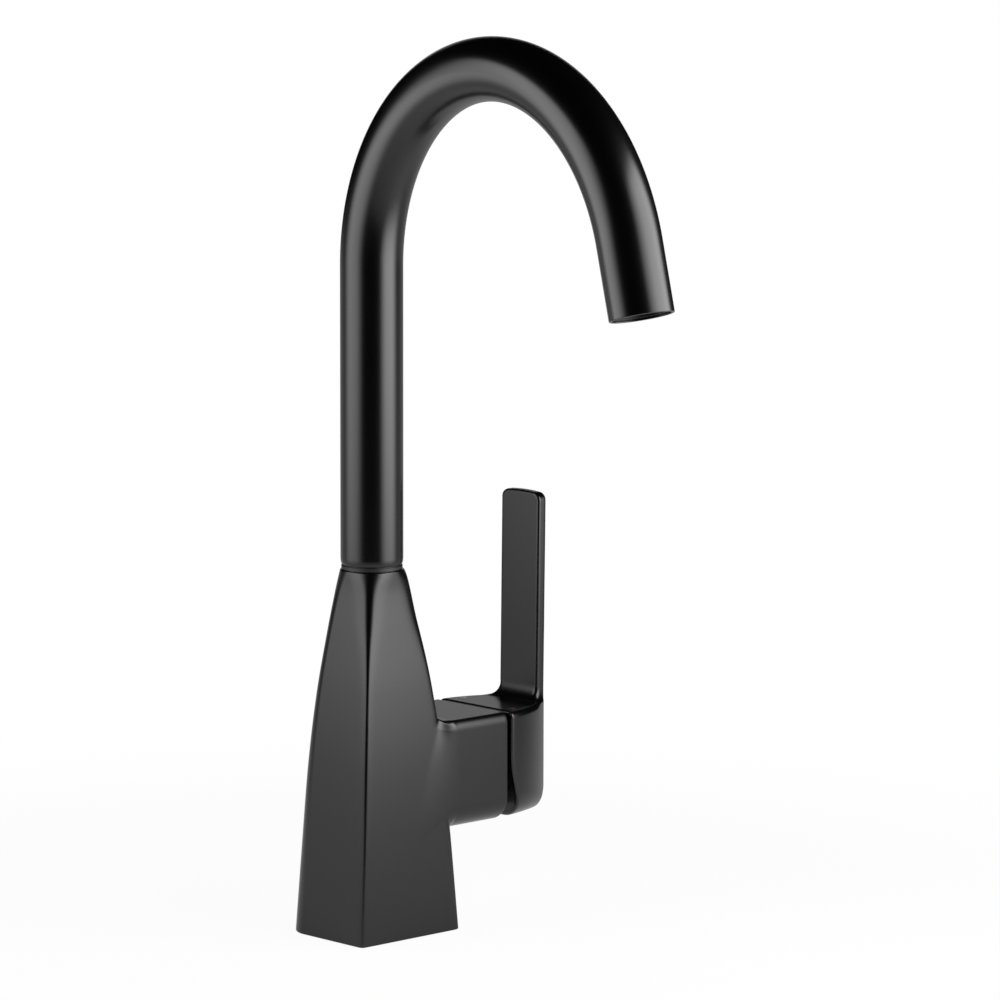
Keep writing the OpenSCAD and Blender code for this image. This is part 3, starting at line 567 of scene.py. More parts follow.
class CastShape:
    """The outline of the body at any height and the rings of its valve arm."""

    def __init__(self, s):
        self.s = s
        self.mid_z = (s.arm_top + s.arm_bottom) / 2
        self.arm_half = s.arm_width / 2

    def half(self, z, k):
        """Half the width or depth of the body at a height."""
        foot = self.s.foot_width if k == WIDTH else self.s.foot_depth
        return between(self.s.neck / 2, foot / 2, body_shape(z / self.s.height, k))

    def point(self, j, z, inset=0.0):
        """Point of the wall in column j at a height: rounded rear corners, squarer front ones."""
        phi = math.radians(direction(j))
        c, s = abs(math.cos(phi)), abs(math.sin(phi))
        a, b = self.half(z, WIDTH) - inset, self.half(z, DEPTH) - inset
        if math.sin(phi) > 1e-9:
            r = b * body_shape(z / self.s.height, REAR_R)
            middle = j % len(QUARTER) == 0
            x = a * c if middle else a - r + r * c
            y = b * s if middle else b - r + r * s
        else:
            n = body_shape(z / self.s.height, SQUARE)
            off = math.atan2(s, c) / (math.pi / 4) - 1
            at = math.pi / 4 * (1 + math.copysign(abs(off) ** CORNER_CROWD, off))
            out = (math.cos(at) ** n + math.sin(at) ** n) ** (-1 / n)
            x, y = a * math.cos(at) * out, b * math.sin(at) * out
        return np.array((signed(x, math.cos(phi)), signed(y, math.sin(phi)), z))

    def arm_ring(self, x, inset=0.0):
        """Ring of the arm at x, drawn in where its faces still swell out of the body's."""
        s = self.s
        ring = section_ring(x, self.arm_half - inset, s.arm_bottom + inset, s.arm_top - inset,
                            s.arm_bottom_edge - inset, s.arm_top_edge - inset)
        for p in ring:
            drawn_in = self.arm_half - self.swell_y(p)
            p[1] -= math.copysign(drawn_in, p[1]) * min(1, abs(p[1]) / (self.arm_half / 2))
        return ring

    def swell_y(self, p):
        """Half depth of the front and rear faces where the arm swells out of them."""
        corner_x = self.half(self.s.arm_top, WIDTH) - SWELL_INSET
        below = max(0.0, self.s.arm_top - p[2])
        start_x = max(0.0, corner_x - SWELL_LEAN * below)
        end_x = corner_x + SWELL_RUN + SWELL_SPREAD * below
        swollen = ease(clamped((p[0] - start_x) / (end_x - start_x)))
        return between(self.half(p[2], DEPTH), self.arm_half, swollen)

    def front_y(self, p):
        """Half depth of the body's own section, without the arm, at a point's side position."""
        out = max(0.0, p[0]) / self.half(p[2], WIDTH)
        n = body_shape(p[2] / self.s.height, SQUARE)
        return self.half(p[2], DEPTH) * max(0.0, 1 - out ** n) ** (1 / n)

    def blend(self, phi, start, leave, arrive, to, t):
        """Point at share t of the way from the body's wall to the arm's first ring."""
        p = cubic(start, leave, arrive, to, t)
        inset = self.arm_half - abs(to[1])
        if phi < 0:
            own = self.front_y(p)
            y = own + max(0.0, self.swell_y(p) - inset - own) * min(1.0, SWELL_ONSET * t)
        else:
            y = self.swell_y(p) - between(self.swell_y(start) - abs(start[1]), inset, t)
        y = between(p[1], math.copysign(y, phi), min(1, abs(phi) / LEVEL_ANGLE))
        return np.array((p[0], y, p[2]))


def signed(size, like):
    """The size with another number's sign, or zero where that number is zero."""
    return 0 if abs(like) < 1e-6 else math.copysign(size, like)


def between(a, b, t):
    return a + (b - a) * t


def ease(u):
    """Smooth step for a share from 0 to 1, or for an array of them."""
    return u * u * (3 - 2 * u)


def clamped(u):
    return min(1.0, max(0.0, u))


BOTTOM, REAR, TOP, FRONT = range(4)


def ring_places():
    """Part, column and row of each point of a ring across the arm, from the front along the
    bottom, up the rear side, back along the top and down the front side."""
    places = [(BOTTOM, j, 0) for j in range(HALF_COLS)]
    places += [(REAR, HALF_COLS, r) for r in range(ARM_ROWS)]
    places += [(TOP, j, ARM_ROWS) for j in range(HALF_COLS, 0, -1)]
    places += [(FRONT, 0, r) for r in range(ARM_ROWS, 0, -1)]
    return places


def row_share(row):
    """Share of the arm's height at a row; the rows lie closer together towards its top."""
    return between(row / ARM_ROWS, math.sin(math.pi / 2 * row / ARM_ROWS), ROW_CROWD)


def section_ring(x, half, low, top, low_r, top_r):
    """Ring of a rounded section of half width half between two heights."""
    points = []
    top_rise = TOP_EDGE_RISE * top_r
    for part, col, row in ring_places():
        phi = math.radians(direction(col))
        if part == BOTTOM:
            side = signed(half - low_r + low_r * abs(math.sin(phi)), math.sin(phi))
            z = low + low_r - low_r * math.cos(phi)
        elif part == TOP:
            side = signed(half - top_r + top_r * abs(math.sin(phi)), math.sin(phi))
            z = top - top_rise + top_rise * math.cos(phi)
        else:
            side = half if part == REAR else -half
            z = between(low + low_r, top - top_rise, row_share(row))
        points.append(np.array((x, side, z)))
    return points


def cubic(a, b, c, d, t):
    return a * (1 - t) ** 3 + 3 * b * t * (1 - t) ** 2 + 3 * c * t * t * (1 - t) + d * t ** 3


def rounding(radius, steps=5):
    """(run along the wall, inset) pairs of a quarter round, from the face to the wall."""
    return [(radius * (1 - math.cos(a)), radius * (1 - math.sin(a)))
            for a in (math.pi / 2 * i / steps for i in range(steps + 1))]


def wall_heights(s):
    """(height, inset) pairs of the body's rows, and the numbers of the arm's lowest and highest row."""
    low_z, high_z = s.arm_bottom - s.arm_fillet, s.arm_top + s.arm_fillet
    rows = rounding(s.foot_edge)
    rows += [(z, 0) for z in np.linspace(s.foot_edge, low_z, FOOT_ROWS)[1:-1]]
    low_row = len(rows)
    rows += [(between(low_z, high_z, row_share(r)), 0) for r in range(ARM_ROWS)]
    high_row = len(rows)
    rows += [(z, 0) for z in np.linspace(high_z, s.height - s.neck_edge, NECK_ROWS)[:-1]]
    rows += [(s.height - run, inset) for run, inset in reversed(rounding(s.neck_edge))]
    return rows, low_row, high_row


def cast_body_mesh():
    s = settings().body
    cast = CastShape(s)
    rows, low_row, high_row = wall_heights(s)
    cols = 2 * HALF_COLS

    bm = bmesh.new()
    wall = [[bm.verts.new(cast.point(j, z, inset)) for j in range(cols)] for z, inset in rows]
    for k in range(len(rows) - 1):
        for j in range(cols):
            if low_row <= k < high_row and j < HALF_COLS:
                continue
            i = (j + 1) % cols
            bm.faces.new((wall[k][j], wall[k][i], wall[k + 1][i], wall[k + 1][j]))

    root_x = s.foot_width / 2 + ARM_ROOT_GAP
    root, paths = [], []
    for (part, col, row), to in zip(ring_places(), cast.arm_ring(root_x)):
        k = {BOTTOM: low_row, TOP: high_row}.get(part, low_row + row)
        root.append(wall[k][col])
        z = rows[k][0]
        start = cast.point(col, z)
        down = WALL_RUN * s.arm_fillet * {BOTTOM: 1, TOP: -1}.get(part, 0)
        phi = {REAR: 90, FRONT: -90}.get(part, direction(col))
        level_share = (abs(phi) / 90) ** LEVEL_POWER
        run = to[0] - start[0]
        leave = between(cast.point(col, z + down), start + np.array((run / 3, 0, 0)), level_share)
        arrive = to - np.array((run * between(ARM_RUN, 1 / 3, level_share), 0, 0))
        paths.append((phi, start, leave, arrive, to))
    rings = [[cast.blend(*path, k / BLEND_STEPS) for path in paths]
             for k in range(1, BLEND_STEPS + 1)]
    rings += [cast.arm_ring(x) for x in np.linspace(root_x, s.arm_end - s.arm_end_edge, ARM_STEPS)[1:-1]]
    rings += [cast.arm_ring(s.arm_end - run, inset) for run, inset in reversed(rounding(s.arm_end_edge))]
    arm = [root] + [[bm.verts.new(p) for p in ring] for ring in rings]
    for corners in grid_faces(arm):
        bm.faces.new(corners)

    add_openings(bm, s, cast, wall, arm)
    return mesh_from(bm, "cast_body")


GASKET_WALL = (4 * MM, 3 * MM)      # left round the gasket's seat, at the sides and front and back
HOLLOW_WALL = (6 * MM, 5 * MM)      # left round the hollow above it
GASKET_SEAT = 1.6 * MM
GASKET_R = 9.5 * MM
HOLLOW_R = 8 * MM
HOLLOW_DEPTH = 22 * MM
SOCKET_R = 10.6 * MM
SOCKET_FLOOR = 106 * MM
LOCK_SCREW_R = 2 * MM
NUT_R = 19 * MM
CARTRIDGE_R = 17.65 * MM
SEAT_X = 22 * MM                    # floor of the cartridge bore
THREAD_TOP = 34 * MM
RISER_TOP = 60 * MM
# Bores in the hollow's roof: place, radius of the thread, radius of the bore above it
BELOW = [((7 * MM, -8 * MM), 5 * MM, 2.8 * MM), ((7 * MM, 8 * MM), 5 * MM, 2.8 * MM),
         ((-11 * MM, 0), 4 * MM, 3.3 * MM)]


def rounded_outline(wall, r, z):
    """The foot's outline at a height, drawn in by a wall, with rounded corners."""
    s = settings().body
    half_w, half_d = s.foot_width / 2 - wall[0], s.foot_depth / 2 - wall[1]
    points = []
    for j in range(2 * HALF_COLS):
        phi = math.radians(direction(j))
        cos, sin = math.cos(phi), math.sin(phi)
        middle = j % len(QUARTER) == 0
        x = half_w * round(cos) if middle else math.copysign(half_w - r + r * abs(cos), cos)
        y = half_d * round(sin) if middle else math.copysign(half_d - r + r * abs(sin), sin)
        points.append((x, y, z))
    return points


def add_openings(bm, s, cast, wall, arm):
    """Closes the casting with its foot's hollow, the spout's socket and the cartridge bore."""
    foot = [(GASKET_WALL, GASKET_R, 0), (GASKET_WALL, GASKET_R, GASKET_SEAT),
            (HOLLOW_WALL, HOLLOW_R, GASKET_SEAT), (HOLLOW_WALL, HOLLOW_R, HOLLOW_DEPTH)]
    made = [wall[0]] + [[bm.verts.new(p) for p in rounded_outline(*one)] for one in foot]
    for corners in grid_faces(made):
        bm.faces.new(corners)
    thread, riser = THREAD_TOP - HOLLOW_DEPTH, RISER_TOP - HOLLOW_DEPTH
    holes = [add_bore(bm, (x, y, HOLLOW_DEPTH), (0, 0, 1),
                      [(0, wide), (thread, wide), (thread, way), (riser, way)])
             for (x, y), wide, way in BELOW]
    fill_face(bm, made[-1], *holes)

    socket = add_bore(bm, (0, 0, s.height), (0, 0, -1), [(0, SOCKET_R), (s.height - SOCKET_FLOOR, SOCKET_R)])
    fill_face(bm, wall[-1], socket)
    nut = s.arm_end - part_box("bonnet_nut")[0].x
    bore = add_bore(bm, (s.arm_end, 0, cast.mid_z), (-1, 0, 0),
                    [(0, NUT_R), (nut, NUT_R), (nut, CARTRIDGE_R), (s.arm_end - SEAT_X, CARTRIDGE_R)],
                    WIDE_BORE_SIDES)
    fill_face(bm, arm[-1], bore)


# ------------------------------------------------------------------ gooseneck tube

UPRIGHT_STEPS, BEND_STEPS, TIP_STEPS = 24, 132, 8
TUBE_SIDES = 112
LIP_STEPS = 8
LIP_HEIGHT = 3 * MM
UPRIGHT = 0.99              # the centre line's direction counts as upright above this rise


def spout_path(s):
    """(point, direction) pairs along the tube's centre line, from the glide ring to the outlet."""
    ahead = Vector((math.sin(s.swing), -math.cos(s.swing), 0))
    path = [(UP * z, UP) for z in np.linspace(RING_HIGH.z, s.bend_height, UPRIGHT_STEPS)[:-1]]
    for i in range(BEND_STEPS + 1):
        a = s.bend_angle * i / BEND_STEPS
        point = UP * (s.bend_height + s.bend_radius * math.sin(a)) + ahead * s.bend_radius * (1 - math.cos(a))
        path.append((point, ahead * math.sin(a) + UP * math.cos(a)))
    last, heading = path[-1]
    path += [(last + heading * d, heading) for d in np.linspace(0, s.tip, TIP_STEPS)[1:]]
    return path, ahead.cross(UP)


def spout_tube_mesh():
    s = settings().spout
    path, side = spout_path(s)
    outer, bore = s.diameter / 2, s.diameter / 2 - s.wall

    def ring(point, heading, radius):
        return circle(point, radius, side, heading.cross(side), TUBE_SIDES)

    start = UP * TUBE_LOW.z
    rings = []
    for i in range(LIP_STEPS + 1):
        a = math.pi / 2 * i / LIP_STEPS
        rings.append(ring(start + UP * LIP_HEIGHT * (1 - math.cos(a)), UP, outer - s.lip * (1 - math.sin(a))))
    clear_of_lip = [one for one in path if one[0].z > TUBE_LOW.z + LIP_HEIGHT + MM or one[1].z < UPRIGHT]
    rings += [ring(*one, outer) for one in clear_of_lip[:-1]]
    end, heading = path[-1]
    rings += [ring(end - heading * run, heading, outer - inset) for run, inset in reversed(rounding(s.rim))]
    rings += [ring(end - heading * run, heading, bore + inset) for run, inset in rounding(s.rim)]
    rings += [ring(*one, bore) for one in reversed(path[1:-1])]
    rings.append(ring(start, UP, bore))
    bm = bmesh.new()
    add_rings(bm, rings + rings[:1])
    return mesh_from(bm, "spout_tube")


# ------------------------------------------------------------------ lever handle

def joined(a, b, r):
    """Two shapes joined with a fillet of radius r, as distances."""
    u, v = np.maximum(r - a, 0), np.maximum(r - b, 0)
    return np.maximum(r, np.minimum(a, b)) - np.hypot(u, v)


def common(a, b, r):
    """What two shapes have in common, with its edge rounded to r, as distances."""
    u, v = np.maximum(r + a, 0), np.maximum(r + b, 0)
    return np.minimum(-r, np.maximum(a, b)) + np.hypot(u, v)


HUB_BOW = 1.85          # power of the curve by which the hub narrows towards the blade
FACE_FOLD = 1.6         # mm over which the hub's inner face turns into its relief
UNDER_RUN = 12          # mm below the hub's middle over which its lower edges become round
SLOPE_STEP = 0.01       # mm


class HandleShape:
    """Distance from the surface of hub and blade; negative inside. Sizes in millimetres."""

    def __init__(self):
        h, b = settings().handle, settings().body
        for key in ("inner", "outer", "top", "blade_width", "blade_thickness", "lean", "fillet",
                    "hub_edge", "blade_edge", "face_edge", "corner", "crown", "heel"):
            setattr(self, key, getattr(h, key) / MM)
        self.relief = math.tan(h.relief)
        self.hub_top, self.hub_low = b.arm_top / MM, b.arm_bottom / MM
        self.mid_z = (self.hub_top + self.hub_low) / 2
        self.hub_half, self.blade_half = b.arm_width / 2 / MM, self.blade_width / 2
        self.low_edge = b.arm_bottom_edge / MM

    def half_width(self, x):
        t = np.clip((x - self.inner) / (self.outer - self.inner), 0, 1)
        return between(self.hub_half, self.blade_half, t ** HUB_BOW)

    def __call__(self, p):
        x, y, z = p[..., 0], np.abs(p[..., 1]), p[..., 2]
        rise = np.clip((z - self.hub_top) / (self.top - self.hub_top), 0, 1)
        out_x = self.outer + self.lean * rise
        in_x = out_x - self.blade_thickness
        # side view: hub top and blade's inner face with their fillet
        inside = joined(z - self.hub_top, in_x - x, self.fillet)
        # end view: the hub's curved sides run out into the blade's narrow sides
        up = np.clip((z - self.hub_top) / self.fillet, 0, 1)
        flare = 1 - np.sqrt(1 - (1 - up) ** 2)
        wide = self.half_width(x)
        half = self.blade_half + (wide - self.blade_half) * flare
        slope = (wide - self.half_width(x + SLOPE_STEP)) / SLOPE_STEP
        side = (y - half) / np.sqrt(1 + slope * slope)
        crown = z - (self.top - self.crown * (y / self.blade_half) ** 2)
        side = common(crown, side, self.corner)
        # edges: the lower ones and the heel become rounder on their way down
        edge = between(self.hub_edge, self.blade_edge, up)
        low = ease(np.clip((self.mid_z - z) / UNDER_RUN, 0, 1))
        under = between(self.blade_edge, self.low_edge * wide / self.hub_half, low)
        low = ease(np.clip((self.hub_low + 2 * self.heel - z) / (1.5 * self.heel), 0, 1))
        heel = between(self.blade_edge, self.heel, low)
        body = common(common(common(inside, side, edge), self.hub_low - z, under), x - out_x, heel)
        # inner face with its relief
        face = self.inner - x
        relief = (self.inner + self.relief * (self.mid_z - z) - x) / math.hypot(1, self.relief)
        fold = np.maximum(FACE_FOLD - np.abs(face - relief), 0) ** 2 / (4 * FACE_FOLD)
        return common(body, np.maximum(face, relief) + fold, self.face_edge)


NET_STEP, QUICK_NET_STEP = 0.55, 0.9        # mm between the net's points
NET_NUDGE = 0.02        # mm over which the field's slope is taken
NET_ROUNDS = 4          # times that the net is drawn onto the surface
LEAST_SLOPE = 0.05      # squared, so that no point is thrown far


def surface_net(field, low, high, step):
    """Vertices and quads of the surface where a field is zero, drawn onto the surface itself."""
    axes = [np.arange(a - 2 * step, b + 3 * step, step) for a, b in zip(low, high)]
    grid = np.stack(np.meshgrid(*axes, indexing="ij"), -1)
    value = field(grid)
    corners = [(i, j, k) for i in (0, 1) for j in (0, 1) for k in (0, 1)]
    size = [n - 1 for n in value.shape]

    def at_corner(c):
        return value[c[0]:c[0] + size[0], c[1]:c[1] + size[1], c[2]:c[2] + size[2]]

    full = sum((at_corner(c) < 0).astype(int) for c in corners)
    cells = np.argwhere((full > 0) & (full < 8))
    ids = -np.ones(size, int)
    ids[tuple(cells.T)] = np.arange(len(cells))
    levels = {c: at_corner(c)[tuple(cells.T)] for c in corners}
    total, count = np.zeros((len(cells), 3)), np.zeros(len(cells))
    for a in corners:
        for axis in range(3):
            if a[axis]:
                continue
            b = tuple(v + (n == axis) for n, v in enumerate(a))
            one, two = levels[a], levels[b]
            crossed = (one < 0) != (two < 0)
            t = np.where(crossed, one / np.where(crossed, one - two, 1), 0)
            place = np.tile(np.array(a, float), (len(cells), 1))
            place[:, axis] += t
            total += place * crossed[:, None]
            count += crossed
    points = (cells + total / count[:, None]) * step + np.array([a[0] for a in axes])
    nudges = np.eye(3) * NET_NUDGE
    for _ in range(NET_ROUNDS):
        here = field(points)
        slope = np.stack([(field(points + nudge) - field(points - nudge)) / (2 * NET_NUDGE)
                          for nudge in nudges], -1)
        move = here[:, None] * slope / np.maximum((slope ** 2).sum(-1), LEAST_SLOPE)[:, None]
        points -= np.clip(move, -step / 2, step / 2)

    quads = []
    inside = value < 0
    for axis in range(3):
        other = [n for n in range(3) if n != axis]
        low_side = [slice(None)] * 3
        low_side[axis] = slice(0, -1)
        high_side = [slice(None)] * 3
        high_side[axis] = slice(1, None)
        change = inside[tuple(low_side)] != inside[tuple(high_side)]
        for spot in np.argwhere(change):
            around = []
            for da, db in ((-1, -1), (0, -1), (0, 0), (-1, 0)):
                cell = spot.copy()
                cell[other[0]] += da
                cell[other[1]] += db
                around.append(ids[tuple(cell)])
            quads.append(around)
    return points, quads


STEM_HALF = 3.52 * MM
STEM_END = 75 * MM
SCREW_R = 2.5 * MM
CAP_R = 15 * MM
CAP_RECESS = 4 * MM
MARKS = ("hot_mark", "cold_mark")
MARK_R = 1.65 * MM
MARK_RECESS = 0.5 * MM


def middle_of(node):
    low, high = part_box(node)
    return (low + high) / 2


def handle_mesh():
    shape = HandleShape()
    low = (shape.inner, -shape.hub_half, shape.hub_low)
    high = (shape.outer + shape.lean, shape.hub_half, shape.top)
    points, quads = surface_net(shape, low, high, NET_STEP)
    bm = bmesh.new()
    verts = [bm.verts.new(p * MM) for p in points]
    for quad in quads:
        bm.faces.new([verts[i] for i in quad])
    mesh = mesh_from(bm, "lever_handle")
    x, z, bottom, top = (v * MM for v in (shape.inner, shape.mid_z, shape.hub_low, shape.hub_top))
    screw_x = middle_of("handle_screw").x
    cutters = [rod((x - MM, 0, z), (x + CAP_RECESS, 0, z), CAP_R, WIDE_BORE_SIDES),
               block((x, -STEM_HALF, z - STEM_HALF), (STEM_END, STEM_HALF, z + STEM_HALF)),
               rod((screw_x, 0, bottom - MM), (screw_x, 0, z), SCREW_R)]
    for mark in MARKS:
        at = middle_of(mark)
        cutters.append(rod((at.x, at.y, top - MARK_RECESS), (at.x, at.y, top + MM), MARK_R, 32))
    return cut_away(mesh, "lever_handle", cutters)


# ------------------------------------------------------------------ operators

class FAUCET_OT_finishes(bpy.types.Operator):
    """Makes the finishes of all pieces"""
    bl_idname = "faucet.finishes"
    bl_label = "Finishes"

    def execute(self, context):
        finish = settings().finish
        satin_black("satin_black_coat")
        moulded("dull_black_plastic", finish.plastic, roughness=0.5)
        moulded("cartridge_plastic", finish.white, roughness=0.38)
        turned_metal("turned_brass", finish.brass, roughness=0.3, axis="Z")
        turned_metal("turned_brass_nut", finish.brass, roughness=0.3, axis="X")
        turned_metal("turned_steel", finish.steel, roughness=0.28, axis="Z")
        soft_rubber("seal_rubber")
        lapped_ceramic("lapped_ceramic")
        enamel("hot_enamel", finish.hot)
        enamel("cold_enamel", finish.cold)
        return {"FINISHED"}


class FAUCET_OT_body(bpy.types.Operator):
    """Builds the cast body with its valve arm, foot hollow, socket and cartridge bore"""
    bl_idname = "faucet.body"
    bl_label = "Cast body"

    def execute(self, context):
        z = middle_of("spout_lock_screw").z
        bore = rod((0, SOCKET_R - MM, z), (0, settings().body.foot_depth, z), LOCK_SCREW_R)
        mesh = cut_away(cast_body_mesh(), "cast_body", [bore])
        add_coated("cast_body", mesh, "body", "body", crease=38)
        return {"FINISHED"}


class FAUCET_OT_spout(bpy.types.Operator):
    """Builds the gooseneck tube"""
    bl_idname = "faucet.spout"
    bl_label = "Gooseneck tube"

    def execute(self, context):
        add_coated("gooseneck_tube", spout_tube_mesh(), "spout", "spout_tube", crease=60)
        return {"FINISHED"}


class FAUCET_OT_handle(bpy.types.Operator):
    """Builds the lever handle with its hub, blade and recesses"""
    bl_idname = "faucet.handle"
    bl_label = "Lever handle"

    def execute(self, context):
        add_coated("lever_blade_and_hub", handle_mesh(), "lever", "lever_handle", crease=50)
        return {"FINISHED"}


def dress(wearers):
    """Gives the pieces that keep their CAD shape their finishes."""
    for finish, nodes in wearers.items():
        for node in nodes:
            give_finish(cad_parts[node].data, finish)
    return {"FINISHED"}


class FAUCET_OT_swivel(bpy.types.Operator):
    """Finishes the pieces that the spout turns on, and the gasket under the foot"""
    bl_idname = "faucet.swivel"
    bl_label = "Swivel and gasket"

    def execute(self, context):
        return dress({"dull_black_plastic": ["glide_ring"],
                      "cartridge_plastic": ["lower_glide_ring"],
                      "turned_brass": ["spout_shank"],
                      "turned_steel": ["spout_lock_screw"],
                      "seal_rubber": ["spout_orings", "base_gasket"]})


class FAUCET_OT_outlet(bpy.types.Operator):
    """Finishes the bushing and the aerator in the spout's tip"""
    bl_idname = "faucet.outlet"
    bl_label = "Outlet"

    def execute(self, context):
        return dress({"turned_brass": ["tip_bushing"],
                      "dull_black_plastic": ["aerator_housing", "aerator_cells"],
                      "turned_steel": ["aerator_screen"],
                      "seal_rubber": ["aerator_washer"]})


class FAUCET_OT_cartridge(bpy.types.Operator):
    """Finishes the cartridge, its discs and seals, the bonnet nut and its cap"""
    bl_idname = "faucet.cartridge"
    bl_label = "Cartridge"

    def execute(self, context):
        return dress({"cartridge_plastic": ["cartridge_base", "disc_carrier", "rotor", "cartridge_housing"],
                      "lapped_ceramic": ["fixed_disc", "moving_disc"],
                      "seal_rubber": ["port_seals"],
                      "turned_brass_nut": ["bonnet_nut"],
                      "dull_black_plastic": ["bonnet_cap"]})


class FAUCET_OT_lever_parts(bpy.types.Operator):
    """Finishes the lever's stem, pin and screw"""
    bl_idname = "faucet.lever_parts"
    bl_label = "Lever stem, pin and screw"

    def execute(self, context):
        return dress({"turned_steel": ["pivot_pin", "lever_stem", "handle_screw"]})


class FAUCET_OT_marks(bpy.types.Operator):
    """Finishes the hot and cold marks"""
    bl_idname = "faucet.marks"
    bl_label = "Temperature marks"

    def execute(self, context):
        return dress({"hot_enamel": ["hot_mark"], "cold_enamel": ["cold_mark"]})


# ------------------------------------------------------------------ stage

# Place and view of the camera, fitted to the faucet's edges in the photograph
CAMERA_AT = Vector((-1.59779, -1.77354, 0.53042))
CAMERA_AHEAD = Vector((0.677858, 0.720452, -0.146487))
TOWARDS_CAMERA = -Vector((CAMERA_AHEAD.x, CAMERA_AHEAD.y, 0)).normalized()
SENSOR_WIDTH = 36
FLOOR_DROP = 0.02 * MM
PAPER_FADE = 0.4            # share of the paper's reach from which it turns white
# How a soft box brightens from its lower edge up, as (share of height, share of radiance)
BOX_RISE = [(0, 0.16), (0.1, 0.25), (0.16, 0.45), (0.24, 0.72), (0.34, 0.88), (0.5, 1), (0.9, 1),
            (1, 0.4)]


def bearing(angle):
    """Level direction at an angle clockwise of the camera, seen from above the faucet."""
    return Matrix.Rotation(-angle, 3, "Z") @ TOWARDS_CAMERA


def dark_room(scene, s):
    """A dark room that the camera sees as white."""
    scene.world = bpy.data.worlds.new("studio")
    r = Recipe(scene.world)
    dark, white = (r.node("ShaderNodeBackground", {}, {"Color": (1, 1, 1), "Strength": strength})
                   for strength in (s.room_level, 1.0))
    r.where_seen(gloss=0, share_seen=1, hidden=dark, seen=white, kind="World")


def white_paper(name, near, s):
    """Pale paper that the camera sees as white, wholly so from the paper's reach on."""
    r = new_finish(name)
    where = r.node("ShaderNodeTexCoord")
    away = r.node("ShaderNodeVectorMath", {"operation": "LENGTH"}, {0: where.outputs["Object"]})
    whiteness = r.node("ShaderNodeMapRange", {"interpolation_type": "SMOOTHSTEP"},
                       {"Value": away.outputs["Value"], "From Min": s.paper_reach * PAPER_FADE,
                        "From Max": s.paper_reach, "To Min": near, "To Max": 1.0})
    matt = r.node("ShaderNodeBsdfDiffuse", {}, {"Color": s.paper})
    white = r.node("ShaderNodeEmission", {}, {"Color": (1, 1, 1), "Strength": 1.0})
    return r.where_seen(s.paper_gloss, r.wire(whiteness), matt, white)


def add_paper(name, corners, material, lift=0.0):
    """Adds a flat sheet of paper that belongs to the stage."""
    mesh = bpy.data.meshes.new(name)
    mesh.from_pydata([tuple(c) for c in corners], [], [tuple(range(len(corners)))])
    mesh.materials.append(material)
    made = bpy.data.objects.new(name, mesh)
    made.location.z = lift
    bpy.context.scene.collection.objects.link(made)


def add_floor(s):
    """A pale table that ends a little in front of the faucet and runs on behind it."""
    across = bearing(math.pi / 2) * s.table_side
    front, back = TOWARDS_CAMERA * s.table_front, -TOWARDS_CAMERA * s.table_back
    add_paper("floor", (front + across, front - across, back - across, back + across),
              white_paper("floor_paper", s.paper_near, s), -FLOOR_DROP)


def add_backdrop(s):
    """White paper hung behind the faucet."""
    across, rise = bearing(math.pi / 2) * s.backdrop_side, UP * s.backdrop_height
    back = -TOWARDS_CAMERA * s.table_back
    add_paper("backdrop", (back - across, back + across, back + across + rise, back - across + rise),
              white_paper("backdrop_paper", 1.0, s))


def add_soft_box(name, towards, width, radiance, s):
    """A soft box that is brightest above the middle and fades towards its edges."""
    away = bearing(towards)
    height = s.box_high - s.box_low
    lamp = bpy.data.lights.new(name, "AREA")
    lamp.shape = "RECTANGLE"
    lamp.size, lamp.size_y = width, height
    lamp.energy = radiance * math.pi * width * height
    r = Recipe(lamp)
    place = r.node("ShaderNodeNewGeometry")
    split = r.node("ShaderNodeSeparateXYZ", {}, {0: place.outputs["Parametric"]})
    sides = r.ramp(split.outputs["X"], [(0, 0), (s.box_fade, 1), (1 - s.box_fade, 1), (1, 0)])
    rise = r.ramp(split.outputs["Y"], BOX_RISE)
    r.finish(r.node("ShaderNodeEmission", {}, {"Color": (1, 1, 1), "Strength": sides * rise}), "Light")
    made = bpy.data.objects.new(name, lamp)
    made.location = away * s.box_distance + UP * (s.box_low + s.box_high) / 2
    made.rotation_mode = "QUATERNION"
    made.rotation_quaternion = away.to_track_quat("Z", "Y")
    made.visible_camera = False
    bpy.context.scene.collection.objects.link(made)


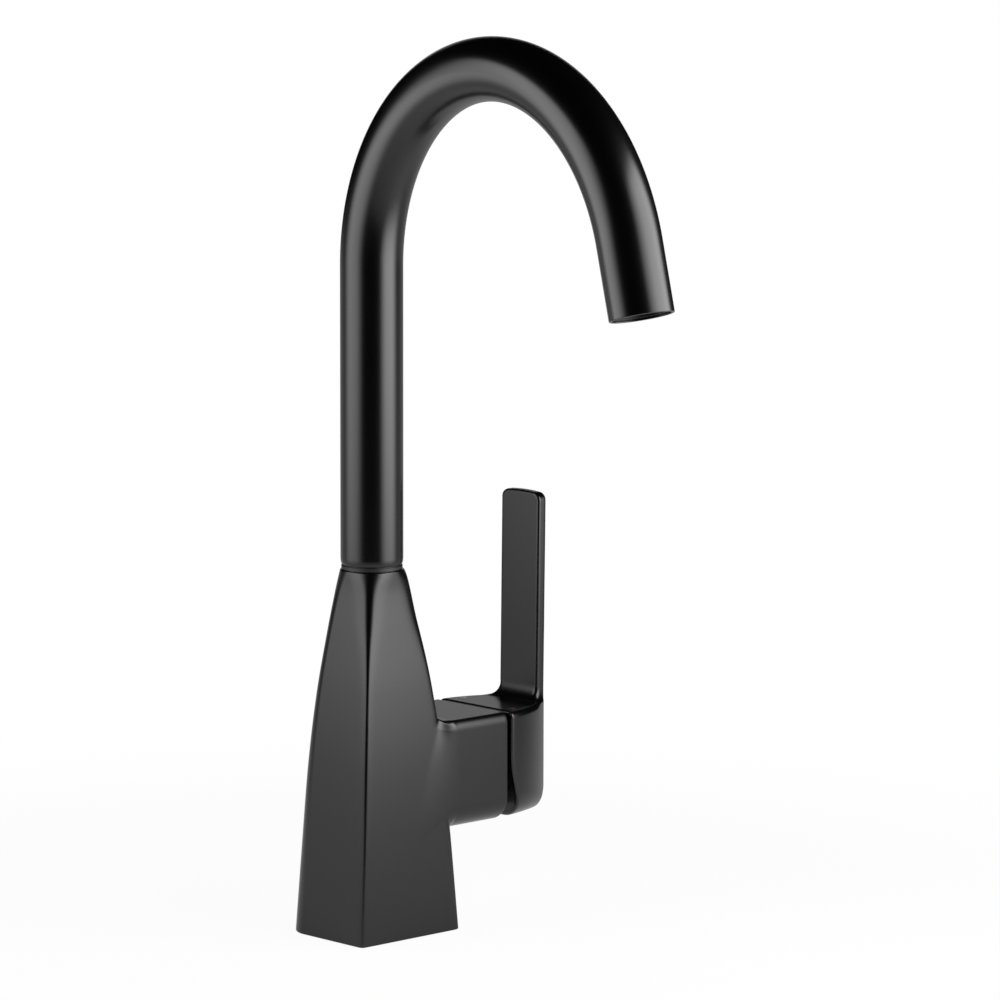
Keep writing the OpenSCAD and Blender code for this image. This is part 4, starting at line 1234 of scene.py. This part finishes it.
def add_camera(scene, s):
    """The camera, level but for its small roll."""
    data = bpy.data.cameras.new("camera")
    data.sensor_width = SENSOR_WIDTH
    data.lens = s.lens
    camera = bpy.data.objects.new("camera", data)
    side = CAMERA_AHEAD.cross(UP).normalized()
    up = side.cross(CAMERA_AHEAD)
    across = side * math.cos(s.roll) + up * math.sin(s.roll)
    over = up * math.cos(s.roll) - side * math.sin(s.roll)
    turned = Matrix((across, over, -CAMERA_AHEAD)).transposed()
    camera.matrix_world = Matrix.Translation(CAMERA_AT) @ turned.to_4x4()
    scene.collection.objects.link(camera)
    scene.camera = camera


class FAUCET_OT_stage(bpy.types.Operator):
    """Sets up the table, backdrop, soft boxes and the camera"""
    bl_idname = "faucet.stage"
    bl_label = "Stage"

    def execute(self, context):
        s = settings().stage
        context.scene.view_settings.view_transform = "Standard"
        dark_room(context.scene, s)
        add_floor(s)
        add_backdrop(s)
        add_soft_box("soft_box_left", s.left_bearing, s.left_width, s.left_level, s)
        add_soft_box("soft_box_right", s.right_bearing, s.right_width, s.right_level, s)
        add_camera(context.scene, s)
        return {"FINISHED"}


# ------------------------------------------------------------------ panel and registration

class FAUCET_PT_panel(bpy.types.Panel):
    """Lists the faucet's settings and the steps that build it"""
    bl_idname = "FAUCET_PT_panel"
    bl_label = "Gooseneck bar faucet"
    bl_space_type = "VIEW_3D"
    bl_region_type = "UI"
    bl_category = "Faucet"

    def draw(self, context):
        for step in STEPS:
            self.layout.operator(step.bl_idname)
        for group in ("body", "spout", "handle", "finish", "stage"):
            box = self.layout.box()
            box.label(text=group.capitalize())
            values = getattr(settings(), group)
            for key in values.bl_rna.properties.keys():
                if key not in ("name", "rna_type"):
                    box.prop(values, key)


STEPS = (FAUCET_OT_finishes, FAUCET_OT_body, FAUCET_OT_spout, FAUCET_OT_handle, FAUCET_OT_swivel,
         FAUCET_OT_outlet, FAUCET_OT_cartridge, FAUCET_OT_lever_parts, FAUCET_OT_marks, FAUCET_OT_stage)
CLASSES = (FaucetBodySizes, FaucetSpoutSizes, FaucetHandleSizes, FaucetFinish, FaucetStage,
           FaucetSettings, *STEPS, FAUCET_PT_panel)


def register():
    for one in CLASSES:
        bpy.utils.register_class(one)
    bpy.types.Scene.faucet = PointerProperty(type=FaucetSettings)


def unregister():
    del bpy.types.Scene.faucet
    for one in reversed(CLASSES):
        bpy.utils.unregister_class(one)


def main():
    register()
    for step in STEPS:
        group, call = step.bl_idname.split(".")
        getattr(getattr(bpy.ops, group), call)()


if __name__ == "__main__":
    main()
